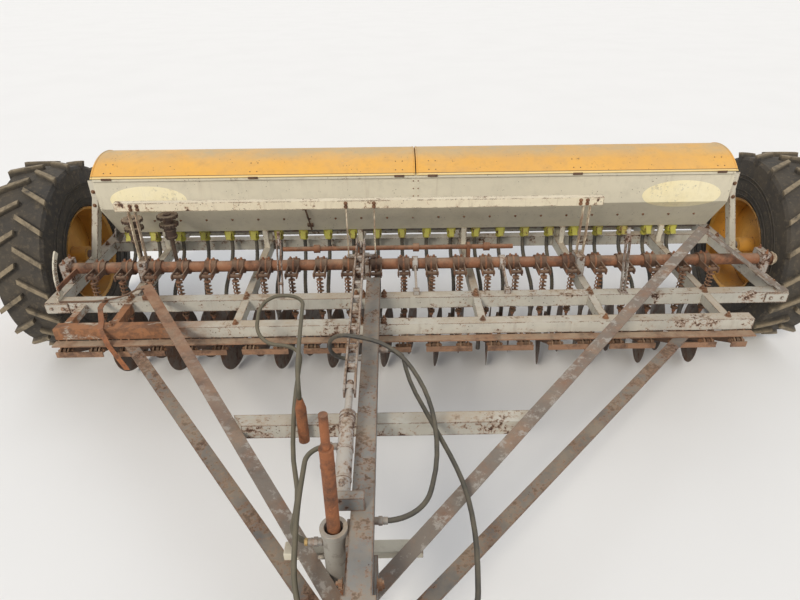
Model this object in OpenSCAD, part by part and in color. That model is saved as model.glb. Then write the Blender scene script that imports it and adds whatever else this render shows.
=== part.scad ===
// Trailed disc seed drill: seed box on a wheeled frame, offset drawbar with a parking jack,
// rows of spring-pressed disc openers lifted by a rock shaft and a hydraulic ram.
// +Z is up, +X is to the right seen from the hitch, and the hitch points along -Y.

/* [Seed box] */
// Reach of the box past the field of the rows, at each end
box_over = 55; // [50:1:70]
// Depth of the box at its rim
box_d = 530; // [500:5:560]
// Height of the rim above the ground
rim_z = 1388; // [1370:1:1420]
// Height of the crease between the upright walls and the hopper
crease_z = 1163; // [1120:1:1200]
// Height of the hopper floor
floor_z = 900; // [895:1:905]
// Depth of the hopper floor
floor_d = 130; // [120:5:150]
// Thickness of the box sheet
sheet = 4; // [3:1:6]
// Rise of the curved lid above the rim
lid_rise = 108; // [80:2:130]
// Gap between the two lids
lid_gap = 8; // [6:1:20]

/* [Openers] */
// Number of seed rows
rows = 23; // [21:1:23]
// Distance between rows
row_pitch = 190; // [186:1:190]
// Radius of an opener disc
disc_r = 230; // [200:5:235]
// Angle between a disc and the direction of travel
disc_turn = 12; // [6:1:14]
// Place of the front rank of discs, behind the box's front
front_rank_y = -290; // [-300:5:-270]
// Place of the rear rank of discs
rear_rank_y = -130; // [-140:5:-110]
// Radius of a pressure spring
spring_r = 24; // [18:1:26]
// Number of coils drawn in a pressure spring
spring_coils = 9; // [6:1:12]

/* [Frame] */
// Height of the frame's top
frame_z = 760; // [756:1:764]
// Side of a frame beam
beam = 80; // [76:1:82]
// Distance from the box's end to the outside of the frame
side_gap = 210; // [205:1:215]
// Reach of the front beam past the first and last rows
front_over = 55; // [50:1:70]
// Width of an inner lengthwise member
member_w = 50; // [40:1:54]

/* [Drawbar] */
// Place of the drawbar, left of the centre
drawbar_x = -300; // [-305:1:-295]
// Width of the drawbar beam
drawbar_w = 90; // [80:2:94]
// Front of the hitch head
hitch_y = -2860; // [-2900:5:-2840]
// Radius of the hitch pin hole
hitch_hole_r = 16.5; // [12:0.5:20]

/* [Wheels] */
// Outer radius of a wheel, over its lugs
wheel_r = 710; // [690:1:710]
// Width of a tyre
tyre_w = 380; // [340:5:400]
// Rim radius
rim_r = 356; // [340:1:370]
// Place of the axle, behind the box's front
axle_y = 229; // [225:1:235]
// Number of lugs on each side of a tyre
lugs = 20; // [16:1:24]
// Height of a lug
lug_h = 36; // [20:1:40]

/* [Lift] */
// Height of the rock shaft
shaft_z = 850; // [846:1:854]
// Place of the rock shaft
shaft_y = -300; // [-304:1:-298]
// Radius of the rock shaft
shaft_r = 38; // [32:1:38]
// Reach of a lifting fork
fork_l = 150; // [146:1:152]
// Height of the lever's pin above the rock shaft
lever_l = 200; // [180:1:205]
// Angle that the rock shaft turns through
lever_swing = 36; // [30:1:36]
// Slope of the ram
ram_tilt = 4.7; // [4.5:0.1:5]
// Radius of the ram's barrel
barrel_r = 34; // [28:1:38]

/* [Jack] */
// Place of the jack along the drawbar
jack_y = -2510; // [-2560:5:-2500]
// Radius of the jack's leg
leg_r = 25; // [20:1:28]
// Height of the top of the jack's sleeve
sleeve_z = 860; // [852:1:870]

/* [Hidden] */
$fn = 48;

fit = 0.3;            // gap between curved faces that lie against each other
run_fit = 0.08;       // running clearance of a pin or an axle in its bore
first_row_x = -rows * row_pitch / 2;
box_w = rows * row_pitch + 2 * box_over;
frame_half = box_w / 2 + side_gap;
rear_y = axle_y + wheel_r;
clevis_l = 130;       // length of the clevis in front of the hitch head
front_y = hitch_y - clevis_l;
shift_y = -(front_y + rear_y) / 2;

paint = [0.80, 0.76, 0.64];
yellow = [0.85, 0.60, 0.18];
rust = [0.48, 0.27, 0.16];
dark = [0.16, 0.15, 0.14];
steel = [0.45, 0.43, 0.41];
rubber = [0.10, 0.10, 0.10];

// Row positions, left to right; even rows are in the front rank
function row_x(i) = first_row_x + i * row_pitch;
function gap_x(i) = row_x(i) + row_pitch / 2;
function rank_y(i) = i % 2 == 0 ? front_rank_y : rear_rank_y;
row_range = [0 : rows - 1];
front_left = row_x(0) - front_over;
front_right = row_x(rows - 1) + front_over;

// Everything is drawn with Y = 0 at the front of the box and set to the model's origin here
module placed() { translate([0, shift_y, 0]) children(); }

// Bar with a cross-section drawn in its own X (sideways) and Y (up), from p to q
module bar_between(p, q) {
    d = q - p;
    flat = norm([d.x, d.y]);
    translate(p)
        rotate([0, 0, atan2(d.y, d.x)])
            rotate([0, -atan2(d.z, flat), 0])
                rotate([90, 0, 90])
                    linear_extrude(norm(d)) children();
}

module box_at(x, y, z) { translate([x[0], y[0], z[0]]) cube([x[1] - x[0], y[1] - y[0], z[1] - z[0]]); }
module rod_x(x, y, z, r) { translate([x[0], y, z]) rotate([0, 90, 0]) cylinder(h = x[1] - x[0], r = r); }

// Cross beams: [front face, back face, bottom, left end, right end]
front_y0 = -945;
front_y1 = front_y0 + 75;
mid_y0 = -620;
mid_y1 = mid_y0 + beam;
rear1_y0 = 330;
rear1_y1 = rear1_y0 + beam;
rear2_y0 = 620;
rear2_y1 = rear2_y0 + beam;
side_in = frame_half - beam;
end_plate = [150, 64, 8];             // width, height and thickness of a plate at a beam's end
member_gap = [1, 5, 9, 13, 17, 21];   // the row gaps that hold a lengthwise member
member_x = [for (k = member_gap) gap_x(k) - (k == 9 ? 35 : 0)];

module front_beams() color(paint) placed() {
    box_at([front_left, front_right], [front_y0, front_y1], [frame_z - 75, frame_z]);
    box_at([-frame_half, frame_half], [mid_y0, mid_y1], [frame_z - beam, frame_z]);
    // end plates, each with two bolts, that would carry a marker
    for (s = [-1, 1]) {
        x = s * (frame_half - end_plate[0] / 2);
        box_at([x - end_plate[0] / 2, x + end_plate[0] / 2], [mid_y0 - end_plate[2], mid_y0],
            [frame_z - beam / 2 - end_plate[1] / 2, frame_z - beam / 2 + end_plate[1] / 2]);
        for (b = [-1, 1])
            translate([x + b * end_plate[0] / 4, mid_y0 - end_plate[2], frame_z - beam / 2])
                rotate([90, 0, 0]) cylinder(h = 9, r = 11, $fn = 6);
    }
}
module rear_beams() color(paint) placed() {
    for (y = [rear1_y0, rear2_y0])
        box_at([-side_in, side_in], [y, y + beam], [frame_z - beam, frame_z]);
}
module side_members() color(paint) placed() {
    for (s = [-1, 1])
        box_at([min(s * side_in, s * frame_half), max(s * side_in, s * frame_half)],
            [mid_y1, rear2_y1], [frame_z - beam, frame_z]);
    for (x = member_x) {
        box_at([x - member_w / 2, x + member_w / 2], [mid_y1, rear1_y0], [frame_z - beam, frame_z]);
        box_at([x - member_w / 2, x + member_w / 2], [front_y1, mid_y0], [frame_z - 70, frame_z - 5]);
        box_at([x - member_w / 2, x + member_w / 2], [rear1_y1, rear2_y0], [frame_z - beam, frame_z]);
    }
    bar_between([front_left + 40, front_y1, frame_z - 40], [front_left + 40, mid_y0, frame_z - 40])
        square([40, 50], center = true);
}

// Rusty angle along the foot of the front beam
ledge = 60;
module front_angle() color(rust) placed() {
    translate([front_left, 0, 0]) rotate([90, 0, 90])
        linear_extrude(front_right - front_left)
            polygon([[front_y0 - ledge, frame_z - 83], [front_y0, frame_z - 83], [front_y0, frame_z - 120],
                [front_y0 - 8, frame_z - 120], [front_y0 - 8, frame_z - 91], [front_y0 - ledge, frame_z - 91]]);
}

// Each drag arm hangs in its own forked bracket under the front beam
pivot_y = -940;
pivot_z = 600;
pivot_r = 12;
arm_t = 16;           // thickness of a drag arm
arm_dx = -16;         // a drag arm's middle, from its row
bracket_t = 8;
bracket_gap = 20;     // from the arm's middle to a bracket plate
module pivot_bars() color(rust) placed()
    for (i = row_range) {
        x = row_x(i) + arm_dx;
        for (s = [-1, 1])
            translate([x + s * (bracket_gap + bracket_t / 2) - bracket_t / 2, 0, 0])
                rotate([90, 0, 90]) linear_extrude(bracket_t)
                    polygon([[pivot_y - 30, pivot_z - 25], [pivot_y + 25, pivot_z - 25],
                        [front_y1 - 5, frame_z - 75], [front_y0, frame_z - 75],
                        [front_y0, pivot_z + 30], [pivot_y - 30, pivot_z + 15]]);
        rod_x([x - bracket_gap - bracket_t - 6, x + bracket_gap + bracket_t + 6], pivot_y, pivot_z, pivot_r);
        // strip across a pair of brackets
        if (i % 2 == 0)
            box_at([x - bracket_gap - bracket_t - 20, x + bracket_gap + bracket_t + 20
                + (i < rows - 1 ? row_pitch : 0)], [pivot_y - 38, pivot_y - 30], [pivot_z - 25, pivot_z + 12]);
    }

// Drawbar: a square beam on top of the front beams, with a deep hitch head at its front
draw_z0 = frame_z;
draw_z1 = frame_z + 90;
draw_y1 = -500;
head_y1 = hitch_y + 90;
head_l = 220;          // reach of the head under the beam
head_z0 = 500;
ram_x = drawbar_x - 82;      // the ram and its link run beside the beam
ram_anchor_y = -2360;
ram_eye_rise = lever_l * (1 - cos(lever_swing / 2)) / 2;   // the ram's line runs through the middle of the pin's arc
lever_lean = lever_swing / 2 + ram_tilt;
lever_pin = [shaft_y - lever_l * sin(lever_lean), shaft_z + lever_l * cos(lever_lean)];
ram_eye = lever_pin + ram_eye_rise * [-sin(ram_tilt), cos(ram_tilt)];
ram_anchor_z = ram_eye[1] - (ram_eye[0] - ram_anchor_y) * tan(ram_tilt);
anchor_y1 = ram_anchor_y - 20;
module drawbar() color(paint) placed() {
    difference() {
        box_at([drawbar_x - drawbar_w / 2, drawbar_x + drawbar_w / 2], [head_y1, draw_y1], [draw_z0, draw_z1]);
        box_at([drawbar_x - drawbar_w / 2 + 8, drawbar_x + drawbar_w / 2 - 8], [head_y1 - 1, draw_y1 + 1],
            [draw_z0 + 8, draw_z1 - 8]);
    }
    // hitch head
    difference() {
        translate([drawbar_x - 60, 0, 0]) rotate([90, 0, 90]) linear_extrude(120)
            polygon([[hitch_y, head_z0], [head_y1 - 20, head_z0], [head_y1 + head_l, draw_z0 - 170],
                [head_y1 + head_l, draw_z0], [head_y1, draw_z0], [head_y1, draw_z1], [hitch_y, draw_z1]]);
        translate([drawbar_x - 45, 0, 0]) rotate([90, 0, 90]) linear_extrude(90)
            polygon([[hitch_y + 20, head_z0 + 20], [head_y1 - 30, head_z0 + 20], [head_y1 + head_l + 20, draw_z0 - 142],
                [head_y1 + head_l + 20, draw_z0 - 15], [head_y1 - 15, draw_z0 - 15], [head_y1 - 15, draw_z1 - 20],
                [hitch_y + 20, draw_z1 - 20]]);
    }
    // anchor of the ram
    box_at([ram_x - 30, drawbar_x + 10], [anchor_y1 - 40, anchor_y1], [draw_z1, ram_anchor_z + 40]);
    // jack bracket
    box_at([drawbar_x - drawbar_w / 2 - 12, drawbar_x - drawbar_w / 2], [jack_y - 60, jack_y + 60],
        [draw_z0 - 10, draw_z1 - 10]);
}

// Braces of the two A-frames, each an angle with its ends cut square: [rear end, front end]
upper_left = [[-frame_half + 660, -560, 852], [drawbar_x - 72, -2700, 640]];
upper_right = [[frame_half - 499, -300, 1090], [drawbar_x + 28, -2631, 636]];
lower_left = [[-frame_half + 650, -950, 672], [drawbar_x - 72, -2760, 520]];
lower_right = [[front_right - 410, -950, 672], [drawbar_x + 72, -2760, 520]];
brace = 68;
brace_t = 8;
function brace_slope(b) = (b[1].x - b[0].x) / (b[1].y - b[0].y);
// Edge of a brace that faces the drawbar, at a place along the drawbar
function brace_edge(b, y, s) = b[0].x + (y - b[0].y) * brace_slope(b)
    - s * (brace / 2 + fit) * sqrt(1 + pow(brace_slope(b), 2));
module angle_section(side) mirror([side < 0 ? 1 : 0, 0, 0])
    polygon([[-brace / 2, 0], [brace / 2, 0], [brace / 2, -brace], [brace / 2 - brace_t, -brace],
        [brace / 2 - brace_t, -brace_t], [-brace / 2, -brace_t]]);
module head_space() box_at([drawbar_x - 60 - fit, drawbar_x + 60 + fit], [hitch_y - 50, head_y1 + 400],
    [head_z0 - 50, draw_z1 + 50]);

// Tie between the two upper braces, its ends cut along them
tie_y0 = -1830;
module cross_tie() color(paint) placed()
    translate([0, 0, frame_z - beam]) linear_extrude(beam - fit)
        polygon([[brace_edge(upper_left, tie_y0, -1), tie_y0], [brace_edge(upper_right, tie_y0, 1), tie_y0],
            [brace_edge(upper_right, tie_y0 + beam, 1), tie_y0 + beam],
            [brace_edge(upper_left, tie_y0 + beam, -1), tie_y0 + beam]]);

module upper_braces() color(rust) placed() {
    difference() {
        union() {
            bar_between(upper_left[0], upper_left[1]) angle_section(1);
            bar_between(upper_right[0], upper_right[1]) angle_section(-1);
        }
        head_space();
        box_at([-frame_half, frame_half], [mid_y0 - 30, mid_y1 + 30], [frame_z - 80, frame_z + fit]);
        box_at([-frame_half, frame_half], [front_y0 - 30, front_y1 + 30], [frame_z - 80, frame_z + fit]);
    }
    // foot of the left brace, struts of the right one and their feet
    box_at([upper_left[0].x - 25, upper_left[0].x + 35], [mid_y0 + 15, mid_y1 - 5], [frame_z, frame_z + 30]);
    for (f = [[frame_half - 40, -170], [frame_half - 35, -585]]) {
        bar_between([upper_right[0].x, upper_right[0].y - 20, upper_right[0].z - 12], [f.x, f.y, frame_z + 5])
            square([60, 10], center = true);
        box_at([f.x - 34, f.x + 34], [f.y - 30, f.y + 30], [frame_z, frame_z + 10]);
    }
}
module lower_braces() color(paint) placed()
    difference() {
        union() {
            bar_between(lower_left[0], lower_left[1]) angle_section(1);
            bar_between(lower_right[0], lower_right[1]) angle_section(-1);
        }
        head_space();
        box_at([-frame_half, frame_half], [front_y0 - ledge + 25, front_y1 + 30], [pivot_z - 60, frame_z + fit]);
        box_at([-frame_half, frame_half], [front_y0 - ledge - 40, front_y1 + 30], [frame_z - 91 - fit, frame_z + fit]);
    }

// Forked hitch with a hole for an upright pin
clevis_w = 100;
clevis_t = 22;
clevis_z0 = 520;
clevis_z1 = 620;
clevis_hole_y = hitch_y - clevis_l + 50;
module hitch_clevis() color(steel) placed()
    difference() {
        union() {
            for (z = [clevis_z0, clevis_z1 - clevis_t]) {
                box_at([drawbar_x - clevis_w / 2, drawbar_x + clevis_w / 2], [clevis_hole_y, hitch_y], [z, z + clevis_t]);
                translate([drawbar_x, clevis_hole_y, z]) cylinder(h = clevis_t, r = clevis_w / 2);
            }
            box_at([drawbar_x - clevis_w / 2, drawbar_x + clevis_w / 2], [hitch_y - 20, hitch_y], [clevis_z0, clevis_z1]);
        }
        translate([drawbar_x, clevis_hole_y, clevis_z0 - 1]) cylinder(h = clevis_z1 - clevis_z0 + 2, r = hitch_hole_r);
    }

// Bearings of the rock shaft: [left side, right side], on the frame's members
bearing_top = shaft_z + 60;
bearing_y = [shaft_y - 60, shaft_y + 60];
post_x = [gap_x(1) + 15, gap_x(17) - 15];
lever_x = ram_x;
bearing_x = [[-frame_half + 10, -side_in - 10], [post_x[0] - 30, post_x[0] + 30], [lever_x - 50, lever_x - 20],
    [lever_x + 20, lever_x + 50], [post_x[1] - 30, post_x[1] + 30], [side_in + 10, frame_half - 10]];
module shaft_bearings() color(rust) placed() {
    difference() {
        union() {
            for (b = bearing_x)
                box_at(b, bearing_y, [frame_z + (b[0] > lever_x - 60 && b[0] < lever_x + 60 ? 15 : 0), bearing_top]);
            // common foot of the two bearings beside the lever
            box_at([lever_x - 55, lever_x + 55], bearing_y, [frame_z, frame_z + 15]);
            // shelves that carry the middle posts
            box_at([lever_x - 100, lever_x - 20], [shaft_y - 20, shaft_y + 20], [bearing_top, bearing_top + 10]);
            box_at([lever_x + 20, lever_x + 104], [shaft_y - 20, shaft_y + 20], [bearing_top, bearing_top + 10]);
        }
        rod_x([-frame_half, frame_half], shaft_y, shaft_z, shaft_r + fit);
    }
}

// Straps from bearings on the rock shaft down to the middle beam
strap_rows = [gap_x(11) - 15, gap_x(14) + 20];
module shaft_straps() color(rust) placed()
    for (x = strap_rows) difference() {
        union() {
            rod_x([x - 20, x + 20], shaft_y, shaft_z, shaft_r + 14);
            bar_between([x, shaft_y - shaft_r - 8, shaft_z - 6], [x, mid_y1 - 24, frame_z + 22]) square([14, 34], center = true);
            box_at([x - 20, x + 20], [mid_y1 - 52, mid_y1 - 6], [frame_z, frame_z + 34]);
        }
        rod_x([x - 30, x + 30], shaft_y, shaft_z, shaft_r + fit);
    }

// Hand levers on the middle beam, each a pair of flat bars with a grip: [place, lean]
lever_bars = [[gap_x(6) + 40, 20], [gap_x(18) + 25, 12]];
hand_l = 370;
module hand_levers() color(rust) placed()
    for (l = lever_bars) translate([l[0], mid_y0 + 34, frame_z])
        difference() {
            union() {
                box_at([-26, 26], [-26, 26], [0, 10]);
                rotate([-l[1], 0, 0]) difference() {
                    union() {
                        for (s = [-1, 1])
                            translate([s * 12 - 3, 0, 0]) rotate([90, 0, 90]) linear_extrude(6) {
                                translate([-16, -8]) square([32, hand_l]);
                                translate([0, hand_l - 8]) circle(r = 16);
                            }
                        for (z = [90, hand_l - 8]) rod_x([-18, 18], 0, z, 10);
                        translate([0, 0, hand_l - 30]) cylinder(h = 90, r = 11);
                    }
                    for (z = [150, 210, 270]) rod_x([-30, 30], 0, z, 6);
                }
            }
            box_at([-40, 40], [-60, 60], [-60, 0]);
        }

// Grab rail on three pairs of straps: [strap place, foot height]
rail_z = 1270;
rail_h = 56;
rail_d = 50;
rail_t = 5;
strap_w = 30;
strap_t = 8;
post_straps = [[post_x[0] - 22, bearing_top], [post_x[0] + 22, bearing_top],
    [lever_x - 90, bearing_top + 10], [lever_x + 94, bearing_top + 10],
    [post_x[1] - 22, bearing_top], [post_x[1] + 22, bearing_top]];
module grab_rail() color(paint) placed() {
    for (p = post_straps)
        box_at([p[0] - strap_t / 2, p[0] + strap_t / 2], [shaft_y - strap_w / 2, shaft_y + strap_w / 2],
            [p[1], rail_z + rail_h - rail_t]);
    translate([post_x[0] - 100, shaft_y, rail_z]) rotate([90, 0, 90]) linear_extrude(post_x[1] - post_x[0] + 200)
        difference() {
            translate([-rail_d / 2, 0]) square([rail_d, rail_h]);
            translate([-rail_d / 2 + rail_t, -1]) square([rail_d - 2 * rail_t, rail_h - rail_t + 1]);
        }
}

// Seed box: front wall, hopper and floor as one folded sheet, with ends and a middle wall
box_mid_y = box_d / 2;
floor_y0 = box_mid_y - floor_d / 2;
floor_y1 = box_mid_y + floor_d / 2;
module box_outline(t = 0)
    polygon([[t, rim_z + (t > 0 ? 1 : 0)], [t, crease_z + t / 4], [floor_y0 + t, floor_z + t], [floor_y1 - t, floor_z + t],
        [box_d - t, crease_z + t / 4], [box_d - t, rim_z + (t > 0 ? 1 : 0)]]);
module seed_box() color(paint) placed()
    difference() {
        translate([-box_w / 2, 0, 0]) rotate([90, 0, 90]) linear_extrude(box_w) box_outline();
        for (s = [-1, 1])
            translate([s * (box_w - sheet) / 4 - (box_w / 2 - 1.5 * sheet) / 2, 0, 0]) rotate([90, 0, 90])
                linear_extrude(box_w / 2 - 1.5 * sheet) box_outline(sheet);
    }

// Stands under the hopper, on the lengthwise members and the first rear beam
module box_stands() color(paint) placed()
    for (x = member_x) {
        box_at([x - 20, x + 20], [floor_y0 - 10, floor_y0 + 5], [frame_z, floor_z]);
        box_at([x - 20, x + 20], [rear1_y0, rear1_y0 + 15], [frame_z, floor_z]);
        box_at([x - 20, x + 20], [floor_y0 + 5, rear1_y0], [floor_z - 12, floor_z]);
    }
module end_straps() color(paint) placed()
    for (s = [0, 1]) mirror([s, 0, 0])
        translate([0, 80, 0]) rotate([90, 0, 0]) linear_extrude(60) {
            x = box_w / 2 + fit;
            polygon([[x, rim_z - 16], [x, rim_z - 140], [side_in, frame_z + 14], [side_in, frame_z],
                [frame_half - 10, frame_z], [frame_half - 10, frame_z + 8], [side_in + 9, frame_z + 8],
                [side_in + 9, frame_z + 16], [x + 8, rim_z - 138], [x + 8, rim_z - 16]]);
        }

// Hinges of the lids: leaves on the box's back with a pin, and a knuckle on each lid between them
hinge_y = box_d + 18.5;
hinge_z = rim_z + 4;
knuckle_r = 6;
knuckle_l = 40;
leaf_l = 22;
hinge_x = [for (k = [1, 3, 5]) k * box_w / 12];   // the same on both sides of the middle
module lid_hinges() color(steel) placed()
    for (s = [-1, 1], h = hinge_x) translate([s * h, 0, 0]) {
        for (e = [-1, 1]) {
            x = e * (knuckle_l / 2 + fit + leaf_l / 2);
            rod_x([x - leaf_l / 2, x + leaf_l / 2], hinge_y, hinge_z, knuckle_r);
            box_at([x - leaf_l / 2, x + leaf_l / 2], [box_d + 4, hinge_y], [rim_z - 12, rim_z - 6]);
            box_at([x - leaf_l / 2, x + leaf_l / 2], [hinge_y - 3, hinge_y + 3], [rim_z - 12, hinge_z]);
        }
        rod_x([-knuckle_l / 2 - 1, knuckle_l / 2 + 1], hinge_y, hinge_z, knuckle_r / 2);
        box_at([-leaf_l - knuckle_l / 2 - fit, leaf_l + knuckle_l / 2 + fit], [box_d, box_d + 4], [rim_z - 70, rim_z - 6]);
    }

// Feed cups under the hopper, one over each row
cup_z = 800;
feed_r = 11;
feed_z = 868;
module feed_cups() color(yellow) placed()
    for (i = row_range)
        difference() {
            union() {
                box_at([row_x(i) - 32, row_x(i) + 32], [floor_y0 + 10, floor_y1 - 10], [cup_z + 45, floor_z]);
                translate([row_x(i), box_mid_y, cup_z]) cylinder(h = 46, r = 24);
            }
            rod_x([row_x(i) - 40, row_x(i) + 40], box_mid_y, feed_z, feed_r + fit);
        }
module feed_shaft() color(steel) placed() {
    rod_x([-box_w / 2 - 60, box_w / 2 - 40], box_mid_y, feed_z, feed_r);
    translate([-box_w / 2 - 50, box_mid_y, feed_z]) rotate([0, 90, 0]) gear(70, 12);
}

// Seed tubes from the cups to the funnels of the boots
tube_r = 15;
boot_dy = 120;
boot_top = 430;
module seed_tubes() color(dark) placed()
    for (i = row_range) let (x = row_x(i), y = rank_y(i) + boot_dy)
        hose([[x, box_mid_y, cup_z - fit], [x, box_mid_y, 690], [x + 12, y, 550], [x + 12, y, boot_top - 4]],
            8, tube_r);

// Second shaft across the middle, with its bearers on the members
module drive_shaft() color(rust) placed() {
    difference() {
        for (x = [member_x[2], member_x[3]])
            box_at([x - 12, x + 12], [-130, -70], [frame_z, 905]);
        rod_x([-frame_half, frame_half], -100, 880, 17 + fit);
    }
    rod_x([member_x[2] - 545, member_x[3] + 320], -100, 880, 17);
    // lugs on the shaft
    for (x = [gap_x(11), member_x[3] + 130, member_x[2] - 300])
        rod_x([x - 22, x + 22], -100, 880, 30);
}

// Two stacks of rusty gear wheels at the left, on their own uprights
gear_teeth = 16;
module gear(r, h) {
    cylinder(h = h, r = r - 7);
    for (a = [0 : 360 / gear_teeth : 359]) rotate([0, 0, a]) translate([r - 9, -4, 0]) cube([9, 8, h]);
}
// [x, y, foot height, top height, lean]
gear_posts = [[gap_x(1) - 90, -100, frame_z, 1125], [gap_x(1) + 160, -100, frame_z, 1150]];
module gear_stacks() color(rust) placed()
    for (g = gear_posts) {
        box_at([min(g[0], gap_x(1)) - 20, max(g[0], gap_x(1)) + 20], [g[1] - 20, g[1] + 20], [g[2], g[2] + 10]);
        translate([g[0], g[1], g[2] + 10]) cylinder(h = g[3] - g[2], r = 14);
        translate([g[0], g[1], g[3] - 15]) gear(72, 22);
        translate([g[0], g[1], g[3] - 75]) gear(66, 20);
        translate([g[0], g[1], g[3] - 54]) cylinder(h = 38, r = 34);
        translate([g[0], g[1], g[3] - 170]) cylinder(h = 94, r = 38);
    }

// Perforated quadrant at the left end of the rock shaft
quad_x = -side_in + 2;
quad_r = 262;
quad_w = 38;
module depth_quadrant() color(rust) placed()
    difference() {
        union() {
            translate([quad_x, shaft_y, shaft_z]) rotate([0, 90, 0]) linear_extrude(10)
                intersection() {
                    difference() { circle(r = quad_r + quad_w / 2); circle(r = quad_r - quad_w / 2); }
                    polygon([[0, 0], [110, -400], [-400, -400], [-400, -330]]);
                }
            box_at([quad_x, quad_x + 10], [mid_y0 + 10, mid_y1 - 10], [frame_z, frame_z + 30]);
        }
        for (a = [-5 : 6 : 40])
            rod_x([quad_x - 12, quad_x + 28], shaft_y - quad_r * cos(a), shaft_z + quad_r * sin(a), 7);
    }

axle_z = wheel_r;
axle_r = 32;
tyre_in = frame_half + 50;
hub_out = tyre_in + tyre_w - 60;
module stub_axles() color(steel) placed()
    for (s = [-1, 1]) mirror([s < 0 ? 1 : 0, 0, 0])
        rod_x([frame_half, hub_out - 20], axle_y, axle_z, axle_r);

// Board along the back to stand on while filling
module footboard() color(rust) placed() {
    box_at([-gap_x(21) - 200, gap_x(21) + 200], [rear2_y0 + 10, rear2_y0 + 240], [frame_z + 40, frame_z + 46]);
    for (x = member_x)
        box_at([x - 20, x + 20], [rear2_y0 + 10, rear2_y0 + 230], [frame_z, frame_z + 40]);
}

// Parking jack beside the hitch
jack_x = drawbar_x - drawbar_w / 2 - 12 - 45 - fit;
foot_r = 90;
module jack_sleeve() color(steel) placed()
    translate([jack_x, jack_y, 0]) difference() {
        union() {
            translate([0, 0, 560]) cylinder(h = sleeve_z - 560, r = 45);
            translate([0, 0, draw_z1 + 1 - 10]) cylinder(h = sleeve_z - draw_z1 + 9, r = 50);
            translate([0, 0, 560]) cylinder(h = 16, r = 50);
        }
        translate([0, 0, 600]) cylinder(h = sleeve_z, r = 34);
        translate([0, 0, 559]) cylinder(h = 60, r = leg_r + fit);
    }
module jack_leg() color(rust) placed()
    translate([jack_x, jack_y, 0]) {
        cylinder(h = 12, r = foot_r);
        translate([0, 0, 12]) cylinder(h = 1248, r = leg_r);
        translate([0, 0, 1260]) cylinder(h = 154, r = 16);
    }

// Ram along the drawbar: barrel on the anchor, rod with its long link to the lever
ram_len = (ram_eye[0] - ram_anchor_y) / cos(ram_tilt);
barrel_l = 420;
barrel_back = (20 - fit - barrel_r * sin(ram_tilt)) / cos(ram_tilt);   // from the anchor's line to the barrel's end
module along_ram() translate([ram_x, ram_anchor_y, ram_anchor_z]) rotate([ram_tilt, 0, 0]) rotate([-90, 0, 0]) children();
module ram_barrel() color(dark) placed() along_ram()
    difference() {
        union() {
            translate([0, 0, -barrel_back]) cylinder(h = barrel_l + barrel_back, r = barrel_r);
            translate([0, 0, barrel_l - 20]) cylinder(h = 20, r = barrel_r + 3);
        }
        translate([0, 0, 40]) cylinder(h = barrel_l, r = 18);
    }
link_start = 620;
link_w = 50;
link_t = 10;
link_gap = 20;
pin_r = 14;
eye_fit = 1.2;        // clearance of the lever's pin in the eye
eye_w = 76;
module ram_rod() color(rust) placed() along_ram() {
    translate([0, 0, 60]) cylinder(h = link_start - 40, r = 17.5);
    difference() {
        union() {
            for (s = [-1, 1]) translate([s * (link_gap + link_t / 2) - link_t / 2, 0, 0]) {
                translate([0, -link_w / 2, link_start - 60]) cube([link_t, link_w, ram_len - link_start + 60]);
                // end with the eye, wider than the bar
                translate([0, -eye_w / 2, ram_len - eye_w / 2 - 20]) cube([link_t, eye_w, eye_w / 2 + 20]);
                translate([0, 0, ram_len]) rotate([0, 90, 0]) cylinder(h = link_t, r = eye_w / 2);
            }
            // spacers of the ladder-like link
            for (z = [link_start - 40 : 150 : ram_len - 150])
                translate([-link_gap - 1, -18, z]) cube([2 * link_gap + 2, 36, 30]);
        }
        // the eye is as tall as the arc of the pin
        for (s = [-1, 1])
            rotate([0, 90, 0]) translate([-ram_len, s * ram_eye_rise, -50]) cylinder(h = 100, r = pin_r + eye_fit);
        translate([-50, -ram_eye_rise, ram_len - pin_r - eye_fit]) cube([100, 2 * ram_eye_rise, 2 * (pin_r + eye_fit)]);
    }
}

// Rock shaft with its forks and lever
module rock_shaft() color(rust) placed() {
    rod_x([-frame_half + 5, frame_half - 10], shaft_y, shaft_z, shaft_r);
    rod_x([frame_half - 10, frame_half + 20], shaft_y, shaft_z, shaft_r - 8);
    rod_x([frame_half + 20, frame_half + 35], shaft_y, shaft_z, shaft_r + 8);
    // arm that runs along the quadrant
    box_at([quad_x + 16, quad_x + 26], [shaft_y - 300, shaft_y - shaft_r + 6], [shaft_z - 16, shaft_z + 16]);
}
fork_gap = 32;
fork_t = 8;
module shaft_forks() color(rust) placed()
    for (i = row_range) translate([row_x(i), shaft_y, shaft_z])
        difference() {
            union() {
                rod_x([-fork_gap - fork_t, fork_gap + fork_t], 0, 0, 50);
                for (s = [-1, 1])
                    box_at([s * (fork_gap + fork_t / 2) - fork_t / 2, s * (fork_gap + fork_t / 2) + fork_t / 2],
                        [-fork_l - 20, 0], [-20, 20]);
            }
            rod_x([-60, 60], 0, 0, shaft_r + fit);
        }
module lift_lever() color(rust) placed()
    translate([lever_x, shaft_y, shaft_z]) rotate([lever_lean, 0, 0])
        difference() {
            union() {
                rod_x([-15, 15], 0, 0, 50);
                translate([-9, -26, 0]) cube([18, 52, lever_l]);
                rod_x([-9, 9], 0, lever_l, 26);
                rod_x([-34, 34], 0, lever_l, pin_r);
            }
            rod_x([-60, 60], 0, 0, shaft_r + fit);
        }

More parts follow.
